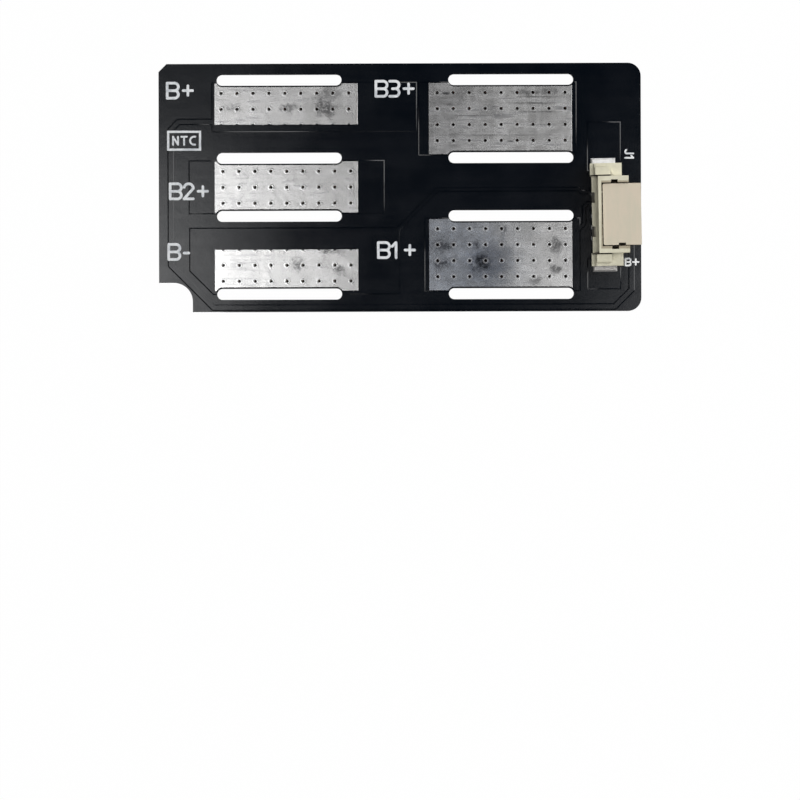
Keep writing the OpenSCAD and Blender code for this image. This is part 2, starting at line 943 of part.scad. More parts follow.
// The frame, its floor, the low rear step and one ear at each end
module housing_walls() {
    difference() {
        block([frame_x, -frame_side, 0], [frame_end, frame_side, frame_h]);
        block([frame_x + frame_rear, -frame_inner, floor_t], [frame_end + eps, frame_inner, frame_h + eps]);
    }
    block([frame_x, tongue_inset - frame_inner, 0], [-tongue_end, frame_inner - tongue_inset, floor_t]);
    block([rear_x, -frame_side, 0], [frame_x + eps, frame_side, step_h]);
    both_ends() {
        block([step_x, frame_side - eps, 0], [step_x + ear_l, ear_side, ear_h]);
        block(
            [ear_pad_x, frame_side + ear_groove, 0],
            [ear_pad_x + ear_pad_l, frame_side + ear_groove + ear_pad_w, ear_h + ear_pad_h]
        );
    }
}

// What is cut from each end: the groove beside the ear's pad, the low rear
// edge, the slot of the hold-down, the recess in the step and the pocket
module housing_end_cuts() {
    block(
        [step_x - eps, frame_side, ear_h - ear_groove_depth],
        [ear_pad_x + ear_pad_l, frame_side + ear_groove, ear_h + eps]
    );
    block(
        [step_x - eps, frame_side, ear_h - ear_rear_drop],
        [step_x + ear_rear_l, ear_side + eps, ear_h + eps]
    );
    block([foot_x, ear_side - foot_t, -eps], [foot_x + foot_l, ear_side + eps, upright_h]);
    block([rear_x - eps, recess_near, recess_z], [rear_x + recess_l, recess_near + recess_w, step_h + eps]);
    block(
        [pocket_x, frame_inner - eps, pocket_z],
        [pocket_x + pocket_l, frame_inner + pocket_w, frame_h + eps]
    );
}

// What each contact needs: a channel for its tail, a shaft for its riser and
// a hole that grips it in the rear wall
module housing_contact_cuts() {
    half = half_contact + contact_clear;
    block([rear_x - eps, -half, -eps], [riser_x + eps, half, contact_t + contact_clear]);
    block([riser_x - contact_clear, -half, -eps], [frame_x, half, arm_z + contact_t]);
    block([riser_x, -half_contact, arm_z], [frame_x + frame_rear + eps, half_contact, arm_z + contact_t]);
}

module connector_housing() {
    color([0.85, 0.83, 0.73])
        at_connector()
            difference() {
                housing_walls();
                both_ends()
                    housing_end_cuts();
                each_contact()
                    housing_contact_cuts();
            }
}

// A rectangle with its two corners at x = 0 rounded
module rear_rounded(size, r) {
    union() {
        translate([r, 0])
            square([size[0] - r, size[1]]);
        translate([0, r])
            square([size[0], size[1] - 2 * r]);
        for (y = [r, size[1] - r])
            translate([r, y])
                circle(r);
    }
}

// The insert holds the contacts, each in its own passage, open at the mouth
module connector_insert() {
    color([0.8, 0.75, 0.65])
        at_connector()
            difference() {
                union() {
                    translate([-insert_l, -insert_w / 2, floor_t])
                        linear_extrude(insert_h - floor_t)
                            rear_rounded([insert_l, insert_w], insert_r);
                    both_ends()
                        block(
                            [pocket_x + catch_clear, insert_w / 2 - eps, pocket_z + catch_clear],
                            [
                                pocket_x + pocket_l - catch_clear,
                                frame_inner + catch_w,
                                pocket_z + catch_clear + catch_h,
                            ]
                        );
                }
                each_contact()
                    block(
                        [-insert_l - eps, -passage_w / 2, arm_z + (contact_t - passage_h) / 2],
                        [eps, passage_w / 2, arm_z + (contact_t + passage_h) / 2]
                    );
                block(
                    [pocket_x + pocket_l, -insert_w / 2 - eps, relief_z],
                    [pocket_x + pocket_l + relief_l, relief_w - insert_w / 2, insert_h + eps]
                );
            }
}

// A contact: tail on its pad, riser in the step and a pin in the insert
pin_set_back = 0.9;

module contact(index) {
    color([0.8, 0.78, 0.7])
        at_connector()
            translate([0, contact_y(index), 0])
                union() {
                    block([toe_x, -half_contact, 0], [riser_x, half_contact, contact_t]);
                    block([riser_x, -half_contact, 0], [frame_x, half_contact, arm_z + contact_t]);
                    block([frame_x, -half_contact, arm_z], [-pin_set_back, half_contact, arm_z + contact_t]);
                }
}

// A run of solder with a sloping face: leg wide, rise high, along +X
module fillet_bar(length, leg, rise) {
    rotate([90, 0, 90])
        linear_extrude(length)
            polygon([[0, 0], [leg, 0], [0, rise]]);
}

// Solder under a contact's tail, with a small fillet in front of its toe
module contact_solder(index) {
    color([0.75, 0.76, 0.78])
        at_connector()
            translate([0, contact_y(index), 0])
                union() {
                    block([toe_x, -half_contact, -mask_t], [frame_x, half_contact, 0]);
                    translate([toe_x, -half_contact, -mask_t])
                        rotate(90)
                            fillet_bar(contact_w, toe_fillet, contact_t);
                }
}

// One end's own half of the connector, turned over for the lower end
module at_end(upper) {
    at_connector()
        mirror([0, upper ? 0 : 1, 0])
            children();
}

module hold_down(upper) {
    color([0.82, 0.83, 0.84])
        at_end(upper)
            union() {
                block([foot_x, ear_side - foot_t, 0], [foot_x + foot_l, foot_side, foot_t]);
                block([foot_x, ear_side - foot_t, 0], [foot_x + foot_l, ear_side, upright_h]);
            }
}

// Solder under a foot, with fillets on its three free sides that meet in a
// mitre at each corner
module hold_down_solder(upper) {
    rise = foot_t + mask_t;
    foot_end = foot_x + foot_l;
    color([0.75, 0.76, 0.78])
        at_end(upper)
            translate([0, 0, -mask_t])
                union() {
                    block([foot_x, ear_side, 0], [foot_end, foot_side, mask_t]);
                    translate([foot_x, foot_side, 0])
                        fillet_bar(foot_l, fillet, rise);
                    translate([foot_end, foot_side, 0])
                        rotate(-90)
                            fillet_bar(foot_w, fillet, rise);
                    translate([foot_x, ear_side, 0])
                        rotate(90)
                            fillet_bar(foot_w, fillet, rise);
                    intersection() {
                        translate([foot_end, foot_side, 0])
                            fillet_bar(fillet, fillet, rise);
                        translate([foot_end, foot_side + fillet, 0])
                            rotate(-90)
                                fillet_bar(fillet, fillet, rise);
                    }
                    intersection() {
                        translate([foot_x - fillet, foot_side, 0])
                            fillet_bar(fillet, fillet, rise);
                        translate([foot_x, foot_side, 0])
                            rotate(90)
                                fillet_bar(fillet, fillet, rise);
                    }
                }
}

// --- Assembly -----------------------------------------------------------

module placed() {
    translate([-board_l / 2, -board_w / 2, 0])
        children();
}

placed() board();
placed() copper(B_PLUS);  // copper_b_plus
placed() copper(B3_PLUS);  // copper_b3_plus
placed() copper(B2_PLUS);  // copper_b2_plus
placed() copper(B1_PLUS);  // copper_b1_plus
placed() copper(B_MINUS);  // copper_b_minus
placed() anchor_pad(true);  // anchor_pad_upper
placed() anchor_pad(false);  // anchor_pad_lower
placed() tin(B_PLUS);  // tin_b_plus
placed() tin(B3_PLUS);  // tin_b3_plus
placed() tin(B2_PLUS);  // tin_b2_plus
placed() tin(B1_PLUS);  // tin_b1_plus
placed() tin(B_MINUS);  // tin_b_minus
placed() legend_ink();
placed() connector_housing();
placed() connector_insert();
placed() contact(0);  // contact_1
placed() contact(1);  // contact_2
placed() contact(2);  // contact_3
placed() contact(3);  // contact_4
placed() contact(4);  // contact_5
placed() contact_solder(0);  // contact_solder_1
placed() contact_solder(1);  // contact_solder_2
placed() contact_solder(2);  // contact_solder_3
placed() contact_solder(3);  // contact_solder_4
placed() contact_solder(4);  // contact_solder_5
placed() hold_down(true);  // hold_down_upper
placed() hold_down(false);  // hold_down_lower
placed() hold_down_solder(true);  // hold_down_solder_upper
placed() hold_down_solder(false);  // hold_down_solder_lower
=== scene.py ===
"""Looks of a tab board for a four-cell pack: finishes, soft mask relief, studio and camera.

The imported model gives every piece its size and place. This script softens edges, lays the
solder mask over the copper as a flowing coat, and gives each piece its finish. Lengths are in
millimetres inside the classes and in metres on the objects.
"""

import logging
import math
import random
from dataclasses import dataclass, field, replace
from enum import Enum, IntEnum
from typing import ClassVar, Iterable, Sequence

import bmesh
import bpy
import numpy as np
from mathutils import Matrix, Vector
from mathutils.geometry import delaunay_2d_cdt


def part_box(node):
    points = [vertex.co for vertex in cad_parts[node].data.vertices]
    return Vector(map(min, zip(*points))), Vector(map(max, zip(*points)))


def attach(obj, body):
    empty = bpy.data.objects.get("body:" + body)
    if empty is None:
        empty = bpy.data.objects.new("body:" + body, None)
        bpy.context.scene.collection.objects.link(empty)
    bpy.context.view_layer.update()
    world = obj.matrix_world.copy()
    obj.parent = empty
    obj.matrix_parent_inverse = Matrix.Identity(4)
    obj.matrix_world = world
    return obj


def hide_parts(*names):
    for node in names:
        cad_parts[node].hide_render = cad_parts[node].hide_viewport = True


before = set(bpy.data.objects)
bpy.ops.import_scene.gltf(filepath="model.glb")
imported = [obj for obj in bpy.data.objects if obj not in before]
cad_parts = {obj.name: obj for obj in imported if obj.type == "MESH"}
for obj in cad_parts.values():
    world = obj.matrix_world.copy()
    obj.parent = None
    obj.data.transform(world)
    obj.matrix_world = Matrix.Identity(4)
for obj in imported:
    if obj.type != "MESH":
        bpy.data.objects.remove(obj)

LOG = logging.getLogger("tab_board")
MM = 0.001
# Power of a lamp for each square metre of its face and each unit of glow
WATTS_PER_GLOW = math.pi
# Plated holes in one row of a pad, and their pitch in millimetres
HOLES_IN_ROW = 9
HOLE_PITCH = 1.8
# Rays that look for open sky at each point of a gap, for the painted shade in gaps
SKY_SAMPLES = 8

Colour = tuple[float, float, float]
Plan = tuple[float, float]
Span = tuple[float, float]
# Corners of a closed rim: x, y, and the move in x and y that takes both of its sides out by one
Rim = list[tuple[float, float, float, float]]
Socket = bpy.types.NodeSocket
Thing = bpy.types.Object
Solid = bmesh.types.BMesh


# --- Material graphs ------------------------------------------------------


class Slot(Enum):
    """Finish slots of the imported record."""

    MASK = "mask"
    HOUSING = "housing"
    INSERT = "insert"
    HOLD_DOWN = "hold_down"


@dataclass(frozen=True)
class Grain:
    """A cloudy pattern: features for each millimetre, octaves, their weight, and distortion."""

    scale: float
    detail: float = 4
    rough: float = 0.55
    twist: float = 0
    stretch: tuple[float, float, float] = (1, 1, 1)


@dataclass(frozen=True)
class Region:
    """A rectangle of painted shade on a moulding, in plan."""

    low: Plan
    high: Plan
    # Colour of the painted shade, how much of it, and the width of its soft edge
    tint: Colour
    strength: float = 0.9
    soft: float = 0.06


class Nodes:
    """A node tree, with short methods for the nodes that finishes, floor and world share."""

    def __init__(self, tree: bpy.types.NodeTree) -> None:
        """Take the tree that the nodes go into."""
        self.tree = tree

    def node(self, kind: str, **values: object) -> bpy.types.Node:
        """Add a node.

        Args:
            kind: Type of the node, without its prefix.
            values: Constants by socket name, with underscores for spaces.

        Returns:
            The node.
        """
        made = self.tree.nodes.new("ShaderNode" + kind)
        for name, value in values.items():
            made.inputs[name.replace("_", " ")].default_value = value
        return made

    def link(self, source: Socket, target: Socket) -> None:
        """Join two sockets."""
        self.tree.links.new(source, target)

    def math(self, operation: str, *values: object) -> Socket:
        """Arithmetic on sockets and numbers.

        Args:
            operation: Name of the math operation.
            values: Sockets or numbers.

        Returns:
            The result.
        """
        node = self.node("Math")
        node.operation = operation
        for socket, value in zip(node.inputs, values):
            if isinstance(value, (int, float)):
                socket.default_value = value
            else:
                self.link(value, socket)
        return node.outputs["Value"]

    def times(self, first: object, second: object) -> Socket:
        """Product of two values."""
        return self.math("MULTIPLY", first, second)

    def plus(self, first: object, second: object) -> Socket:
        """Sum of two values."""
        return self.math("ADD", first, second)

    def minus(self, first: object, second: object) -> Socket:
        """First value less the second."""
        return self.math("SUBTRACT", first, second)

    def spread(self, value: Socket, span: Span, to: Span = (0, 1)) -> Socket:
        """Map a range of values onto another, clamped and smooth.

        Args:
            value: Value to map.
            span: Start and end of the range.
            to: What the start and the end become.

        Returns:
            The mapped value.
        """
        node = self.node("MapRange", From_Min=span[0], From_Max=span[1], To_Min=to[0], To_Max=to[1])
        node.interpolation_type = "SMOOTHSTEP"
        self.link(value, node.inputs["Value"])
        return node.outputs["Result"]

    def split(self, where: Socket) -> bpy.types.NodeOutputs:
        """Split a place.

        Args:
            where: The place.

        Returns:
            Its X, Y and Z.
        """
        node = self.node("SeparateXYZ")
        self.link(where, node.inputs["Vector"])
        return node.outputs


class Graph(Nodes):
    """Node tree of one material, round a Principled shader."""

    def __init__(self, name: str) -> None:
        """Start a material.

        Args:
            name: Name of the material.
        """
        self.material = bpy.data.materials.new(name)
        self.material.use_nodes = True
        super().__init__(self.material.node_tree)
        self.tree.nodes.clear()
        self.places: dict[tuple[object, float], Socket] = {}
        self.shader = self.node("BsdfPrincipled")
        self.output = self.node("OutputMaterial")
        self.link(self.shader.outputs["BSDF"], self.output.inputs["Surface"])

    def set(self, name: str, value: float) -> None:
        """Set a constant on the shader."""
        self.shader.inputs[name].default_value = value

    def place(self, stretch: tuple[float, float, float] = (1, 1, 1), shift: float = 0) -> Socket:
        """Object coordinates in millimetres.

        Args:
            stretch: Factor on each axis.
            shift: Offset on every axis, which keeps two pieces from sharing one pattern.

        Returns:
            The coordinate socket.
        """
        key = (stretch, shift)
        if key not in self.places:
            scale = tuple(axis / MM for axis in stretch)
            mapping = self.node("Mapping", Scale=scale, Location=(shift, shift, shift))
            self.link(self.node("TexCoord").outputs["Object"], mapping.inputs["Vector"])
            self.places[key] = mapping.outputs["Vector"]
        return self.places[key]

    def noise(self, grain: Grain, shift: float = 0) -> Socket:
        """Cloudy values from 0 to 1.

        Args:
            grain: The pattern.
            shift: Offset of the pattern.

        Returns:
            The value socket.
        """
        sizes = {"Scale": grain.scale, "Detail": grain.detail}
        node = self.node("TexNoise", **sizes, Roughness=grain.rough, Distortion=grain.twist)
        self.link(self.place(grain.stretch, shift), node.inputs["Vector"])
        return node.outputs["Fac"]

    def blend(self, factor: Socket, first: object, second: object) -> Socket:
        """Mix two colours.

        Args:
            factor: Share of the second colour.
            first: Colour or socket.
            second: Colour or socket.

        Returns:
            The mixed colour.
        """
        node = self.node("Mix")
        node.data_type = "RGBA"
        self.link(factor, node.inputs["Factor"])
        for name, value in (("A", first), ("B", second)):
            socket = next(s for s in node.inputs if s.name == name and s.type == "RGBA")
            if isinstance(value, tuple):
                socket.default_value = (*value, 1)
            else:
                self.link(value, socket)
        return next(s for s in node.outputs if s.type == "RGBA")

    def distance(self, centre: Plan, stretch: Plan = (1, 1)) -> Socket:
        """Distance in plan from a point.

        Args:
            centre: The point, in millimetres.
            stretch: Factor on each axis.

        Returns:
            The distance.
        """
        (x, y), (wide, high) = centre, stretch
        mapping = self.node("Mapping", Location=(-x * wide, -y * high, 0), Scale=(wide, high, 0))
        self.link(self.place(), mapping.inputs["Vector"])
        length = self.node("VectorMath")
        length.operation = "LENGTH"
        self.link(mapping.outputs["Vector"], length.inputs[0])
        return length.outputs["Value"]

    def hollow(self, reach: float, span: Span) -> Socket:
        """How deep a point lies in a gap or corner, by ambient occlusion; it masks the painted shade in
        gaps.

        Args:
            reach: How far to look, in millimetres.
            span: Shares of open sky that count as fully hollow and as open.

        Returns:
            1 in gaps and 0 in the open.
        """
        node = self.node("AmbientOcclusion", Distance=reach * MM)
        node.samples = SKY_SAMPLES
        return self.spread(node.outputs["AO"], span, (1, 0))

    def inside(self, region: Region) -> Socket:
        """How far inside a rectangle in plan a point lies.

        Args:
            region: The rectangle.

        Returns:
            1 inside and 0 outside, over the soft edge.
        """
        here = self.split(self.place())
        depths = []
        for axis, low, high in zip("XY", region.low, region.high):
            offset = self.math("ABSOLUTE", self.minus(here[axis], (low + high) / 2))
            depths.append(self.minus((high - low) / 2, offset))
        return self.spread(self.math("MINIMUM", *depths), (-region.soft / 2, region.soft / 2))

    def from_holes(self, along: Socket, across: Socket, rows: bool) -> Socket:
        """Distance from the nearest hole of a row, or of rows at the same pitch.

        Args:
            along: Distance from the first hole along its row.
            across: Distance from the first hole's row.
            rows: Whether the row repeats.

        Returns:
            The distance.
        """
        half = HOLE_PITCH / 2
        along = self.math("WRAP", along, half, -half)
        if rows:
            across = self.math("WRAP", across, half, -half)
        return self.math("SQRT", self.plus(self.times(along, along), self.times(across, across)))

    def hole_distance(self, first: Plan) -> Socket:
        """Distance in plan from the nearest hole of an endless grid, which holds the first."""
        here = self.split(self.place())
        return self.from_holes(self.minus(here["X"], first[0]), self.minus(here["Y"], first[1]), True)

    def hole_row(self, first: Plan, radius: float, edge: Span = (0.55, 1.25)) -> Socket:
        """Closed holes in a row along X, which end with the row.

        Args:
            first: Middle of the first hole.
            radius: Radius of a hole.
            edge: Where a hole begins to fade and where it has, for each unit of its radius.

        Returns:
            1 in a hole and 0 between holes.
        """
        here = self.split(self.place())
        along = self.minus(here["X"], first[0])
        reach = self.from_holes(along, self.minus(here["Y"], first[1]), False)
        spot = self.spread(reach, (radius * edge[0], radius * edge[1]), (1, 0))
        begun = self.math("GREATER_THAN", along, -HOLE_PITCH / 2)
        ended = self.math("LESS_THAN", along, HOLE_PITCH * (HOLES_IN_ROW - 0.5))
        return self.times(spot, self.times(begun, ended))

    def bump(self, height: Socket, depth: float) -> None:
        """Let a height stand out of the surface, after any bump set before.

        Args:
            height: Height from 0 to 1.
            depth: Depth of a full step, in millimetres.
        """
        node = self.node("Bump", Strength=1, Distance=depth * MM)
        self.link(height, node.inputs["Height"])
        normal = self.shader.inputs["Normal"]
        if normal.is_linked:
            self.link(normal.links[0].from_socket, node.inputs["Normal"])
        self.link(node.outputs["Normal"], normal)

    def colour(self, value: Socket) -> None:
        """Drive the base colour."""
        self.link(value, self.shader.inputs["Base Color"])

    def roughness(self, value: Socket) -> None:
        """Drive the roughness."""
        self.link(value, self.shader.inputs["Roughness"])


# --- Finishes -------------------------------------------------------------


@dataclass(frozen=True)
class MaskFinish:
    """Solder mask: dark semi-gloss coat with a faint flow and dust."""

    name: str
    tone: Colour
    light_tone: Colour
    rough: Span = (0.12, 0.16)
    rough_span: Span = (0.3, 0.7)
    ior: float = 1.52
    cloud: Grain = Grain(0.25, 5)
    cloud_span: Span = (0.35, 0.7)
    cloud_share: float = 0.6
    streak: Grain = Grain(0.8, 4, stretch=(0.12, 1.6, 1))
    dust: Grain = Grain(5, 2)
    dust_depth: float = 0.0012
    swell: Grain = Grain(0.6, 2)
    swell_depth: float = 0.004
    rows: tuple[Plan, ...] = ()
    hole_r: float = 0.14
    # Painted shade: near-black dots at the covered holes, where their depth is dark
    hole: Colour = (0.0008, 0.0008, 0.001)
    pit_depth: float = 0.06

    def material(self) -> bpy.types.Material:
        """Build the material.

        Returns:
            The material.
        """
        graph = Graph(self.name)
        cloud = graph.noise(self.cloud)
        colour = graph.blend(graph.spread(cloud, self.cloud_span), self.tone, self.light_tone)
        for row in self.rows:
            pit = graph.hole_row(row, self.hole_r)
            # Painted shade of each covered hole, beside its dip
            colour = graph.blend(pit, colour, self.hole)
            graph.bump(graph.minus(1, pit), self.pit_depth)
        graph.colour(colour)
        streak = graph.times(graph.noise(self.streak), 1 - self.cloud_share)
        worn = graph.plus(graph.times(cloud, self.cloud_share), streak)
        graph.set("IOR", self.ior)
        graph.roughness(graph.spread(worn, self.rough_span, self.rough))
        graph.bump(graph.noise(self.dust), self.dust_depth)
        graph.bump(graph.noise(self.swell), self.swell_depth)
        return graph.material


@dataclass(frozen=True)
class LaminateFinish:
    """Cut edge of the glass-fibre laminate, with its layers of cloth."""

    name: str = "laminate_edge"
    resin: Colour = (0.075, 0.066, 0.045)
    cloth: Colour = (0.2, 0.18, 0.13)
    cloth_span: Span = (0.12, 0.42)
    layers: Grain = Grain(1, 3, stretch=(0.3, 0.3, 5))
    fibres: Grain = Grain(1, 3, 0.7, stretch=(6, 6, 20))
    rough: Span = (0.6, 0.9)
    rough_span: Span = (0.3, 0.7)
    saw_marks: Grain = Grain(9, 3)
    saw_depth: float = 0.01

    def material(self) -> bpy.types.Material:
        """Build the material.

        Returns:
            The material.
        """
        graph = Graph(self.name)
        fibres = graph.noise(self.fibres)
        mixed = graph.times(graph.noise(self.layers), fibres)
        graph.colour(graph.blend(graph.spread(mixed, self.cloth_span), self.resin, self.cloth))
        graph.roughness(graph.spread(fibres, self.rough_span, self.rough))
        graph.bump(graph.noise(self.saw_marks), self.saw_depth)
        return graph.material


@dataclass(frozen=True)
class Stain:
    """A stain on a tinned pad, placed from the pad's lower left corner."""

    place: Plan
    radius: float
    tint: Colour
    strength: float = 0.6
    stretch: Plan = (1, 1)
    # How far it breaks into specks, and how uneven its edge is
    speckle: float = 0.6
    ragged: float = 2.0


@dataclass(frozen=True)
class TinFinish:
    """Solder coat on a pad: soft waves, fine scratches along and across the pad, and stains."""

    name: str
    seed: float
    scratch: float = 0.5
    specks_share: float = 0.08
    stains: tuple[Stain, ...] = ()
    # Lower left corner of the pad, its first open hole and its rows of covered holes
    corner: Plan = (0, 0)
    first_hole: Plan = (0, 0)
    rows: tuple[Plan, ...] = ()
    bright: Colour = (0.88, 0.875, 0.87)
    dull: Colour = (0.66, 0.66, 0.67)
    metal: float = 0.9
    rough: Span = (0.2, 0.28)
    rough_span: Span = (0.3, 1.3)
    cloud: Grain = Grain(0.35, 5, 0.6, 0.4)
    cloud_span: Span = (0.4, 0.72)
    cloud_share: float = 0.35
    wave: Grain = Grain(0.35, 2, 0.5, 0.4)
    wave_depth: float = 0.012
    specks: Grain = Grain(3.5, 2)
    specks_span: Span = (0.5, 0.68)
    lines: Grain = Grain(1, 2, 0.6, stretch=(0.2, 2.4, 1))
    lines_span: Span = (0.47, 0.62)
    lines_share: float = 0.5
    lines_depth: float = 0.0015
    cross: Grain = Grain(1, 2, 0.6, stretch=(2.4, 0.16, 1))
    cross_shift: float = 7
    cross_span: Span = (0.52, 0.66)
    cross_share: float = 0.35
    stroke: Colour = (0.34, 0.34, 0.35)
    stroke_span: Span = (0.55, 0.64)
    stroke_clouds: Span = (0.42, 0.6)
    edge: Grain = Grain(1.1, 5, 0.6)
    stain_core: float = 0.15
    stain_breaks: Span = (0.36, 0.56)
    # Painted shade of the holes: near black out to rim_r round each open hole, fading over rim_soft, and at
    # covered holes within hole_r
    hole: Colour = (0.012, 0.012, 0.014)
    hole_r: float = 0.13
    rim_r: float = 0.15
    rim_soft: float = 0.05
    collar: Colour = (0.97, 0.97, 0.97)
    collar_r: float = 0.26
    collar_w: float = 0.12
    collar_share: float = 0.35
    collar_depth: float = 0.002

    def material(self) -> bpy.types.Material:
        """Build the material.

        Returns:
            The material.
        """
        graph = Graph(self.name)
        cloud = graph.noise(self.cloud, self.seed)
        specks = graph.noise(self.specks, self.seed)
        lines = graph.noise(self.lines, self.seed)
        dirt = self.dirt(graph, cloud, specks, lines)
        colour = graph.blend(dirt, self.bright, self.dull)
        strokes = graph.spread(lines, self.stroke_span)
        strokes = graph.times(strokes, graph.spread(cloud, self.stroke_clouds))
        colour = graph.blend(graph.times(strokes, self.scratch), colour, self.stroke)
        colour = self.stained(graph, colour, specks)
        hole = graph.hole_distance(self.first_hole)
        from_collar = graph.math("ABSOLUTE", graph.minus(hole, self.collar_r))
        collar = graph.spread(from_collar, (0, self.collar_w), (1, 0))
        colour = graph.blend(graph.times(collar, self.collar_share), colour, self.collar)
        # Painted shade: near black round each open hole and at the covered holes
        rim = graph.spread(hole, (self.rim_r, self.rim_r + self.rim_soft), (1, 0))
        colour = graph.blend(rim, colour, self.hole)
        for row in self.rows:
            colour = graph.blend(graph.hole_row(row, self.hole_r), colour, self.hole)
        graph.colour(colour)
        graph.set("Metallic", self.metal)
        graph.roughness(graph.spread(graph.plus(cloud, dirt), self.rough_span, self.rough))
        graph.bump(graph.noise(self.wave, self.seed), self.wave_depth)
        graph.bump(collar, self.collar_depth)
        graph.bump(lines, self.lines_depth)
        return graph.material

    def dirt(self, graph: Graph, cloud: Socket, specks: Socket, lines: Socket) -> Socket:
        """Share of the dull tone, from clouds, specks and scratches.

        Args:
            graph: The material's graph.
            cloud: Wide pattern.
            specks: Fine pattern.
            lines: Pattern along the pad.

        Returns:
            The share, up to 1.
        """
        across = graph.noise(self.cross, self.seed + self.cross_shift)
        parts = (
            graph.times(graph.spread(cloud, self.cloud_span), self.cloud_share),
            graph.times(graph.spread(specks, self.specks_span), self.specks_share),
            graph.times(graph.spread(lines, self.lines_span), self.lines_share * self.scratch),
            graph.times(graph.spread(across, self.cross_span), self.cross_share * self.scratch),
        )
        total = parts[0]
        for part in parts[1:]:
            total = graph.plus(total, part)
        return graph.math("MINIMUM", total, 1)

    def stained(self, graph: Graph, colour: Socket, specks: Socket) -> Socket:
        """Lay the stains over a colour.

        Args:
            graph: The material's graph.
            colour: The colour below.
            specks: Fine pattern, which breaks the stains.

        Returns:
            The colour with its stains.
        """
        if not self.stains:
            return colour
        edge = graph.minus(graph.noise(self.edge, self.seed), 0.5)
        for stain in self.stains:
            centre = (self.corner[0] + stain.place[0], self.corner[1] + stain.place[1])
            reach = graph.distance(centre, stain.stretch)
            reach = graph.plus(reach, graph.times(edge, stain.radius * stain.ragged))
            span = (stain.radius * self.stain_core, stain.radius)
            amount = graph.spread(reach, span, (stain.strength, 0))
            broken = graph.spread(specks, self.stain_breaks, (1 - stain.speckle, 1))
            colour = graph.blend(graph.times(amount, broken), colour, stain.tint)
        return colour


@dataclass(frozen=True)
class InkFinish:
    """Printed legend: matt white with thin places."""

    name: str = "legend_white"
    full: Colour = (0.87, 0.89, 0.91)
    thin: Colour = (0.6, 0.63, 0.67)
    thin_span: Span = (0.12, 0.3)
    strokes: Grain = Grain(2.4, 4, 0.6)
    patches: Grain = Grain(0.7, 2)
    rough: Span = (0.7, 0.5)
    rough_span: Span = (0.1, 0.4)
    skin: Grain = Grain(8, 3)
    skin_depth: float = 0.006

    def material(self) -> bpy.types.Material:
        """Build the material.

        Returns:
            The material.
        """
        graph = Graph(self.name)
        patch = graph.times(graph.noise(self.strokes), graph.noise(self.patches))
        graph.colour(graph.blend(graph.spread(patch, self.thin_span), self.thin, self.full))
        graph.roughness(graph.spread(patch, self.rough_span, self.rough))
        graph.bump(graph.noise(self.skin), self.skin_depth)
        return graph.material


@dataclass(frozen=True)
class PlasticFinish:
    """Moulded plastic: slight mottling, flow marks, a fine grained skin, and painted shade in gaps and in
    given rectangles.
    """

    name: str
    tone: Colour
    shade: Colour
    seed: float = 0
    rough: Span = (0.39, 0.53)
    rough_span: Span = (0.3, 0.7)
    flow_share: float = 0.5
    shade_span: Span = (0.36, 0.66)
    cloud: Grain = Grain(0.5, 5, 0.6)
    cloud_depth: float = 0.01
    flow: Grain = Grain(1, 4, 0.6, 0.6, (1.2, 0.25, 0.5))
    skin: Grain = Grain(12, 3)
    skin_depth: float = 0.003
    # Painted shade: its colour in gaps and corners, how far occlusion looks, and the span that it maps
    painted_gap_shade: Colour = (0.05, 0.037, 0.022)
    painted_shade_reach: float = 1.1
    painted_shade_span: Span = (0.16, 0.58)
    # Rectangles of painted shade
    regions: tuple[Region, ...] = ()

    def material(self) -> bpy.types.Material:
        """Build the material.

        Returns:
            The material.
        """
        graph = Graph(self.name)
        cloud = graph.noise(self.cloud, self.seed)
        flow = graph.times(graph.noise(self.flow, self.seed), self.flow_share)
        mixed = graph.plus(graph.times(cloud, 1 - self.flow_share), flow)
        colour = graph.blend(graph.spread(mixed, self.shade_span), self.tone, self.shade)
        # Painted shade: darker in gaps and corners, by ambient occlusion
        colour = graph.blend(graph.hollow(self.painted_shade_reach, self.painted_shade_span), colour, self.painted_gap_shade)
        # Painted shade in the given rectangles
        for region in self.regions:
            amount = graph.times(graph.inside(region), region.strength)
            colour = graph.blend(amount, colour, region.tint)
        graph.colour(colour)
        graph.roughness(graph.spread(cloud, self.rough_span, self.rough))
        graph.bump(graph.noise(self.skin, self.seed), self.skin_depth)
        graph.bump(cloud, self.cloud_depth)
        return graph.material


@dataclass(frozen=True)
class MetalFinish:
    """Bare or plated metal: low waves and a worn sheen, with painted shade in its holes and gaps."""

    name: str
    tone: Colour
    worn: Colour
    rough: Span = (0.22, 0.42)
    wave_depth: float = 0.02
    metal: float = 1.0
    rough_span: Span = (0.3, 0.7)
    cloud: Grain = Grain(1.6, 5, 0.6)
    cloud_span: Span = (0.4, 0.68)
    wave: Grain = Grain(1.4, 3)
    skin: Grain = Grain(9, 3)
    skin_depth: float = 0.002
    # Painted shade in holes and gaps: its colour, how far occlusion looks, and the span that it maps
    painted_gap_shade: Colour = (0.02, 0.018, 0.015)
    painted_shade_reach: float = 0.3
    painted_shade_span: Span = (0.05, 0.35)

    def material(self) -> bpy.types.Material:
        """Build the material.

        Returns:
            The material.
        """
        graph = Graph(self.name)
        cloud = graph.noise(self.cloud)
        colour = graph.blend(graph.spread(cloud, self.cloud_span), self.tone, self.worn)
        # Painted shade: darker in holes and gaps, by ambient occlusion
        graph.colour(graph.blend(graph.hollow(self.painted_shade_reach, self.painted_shade_span), colour, self.painted_gap_shade))
        graph.set("Metallic", self.metal)
        graph.roughness(graph.spread(cloud, self.rough_span, self.rough))
        graph.bump(graph.noise(self.wave), self.wave_depth)
        graph.bump(graph.noise(self.skin), self.skin_depth)
        return graph.material


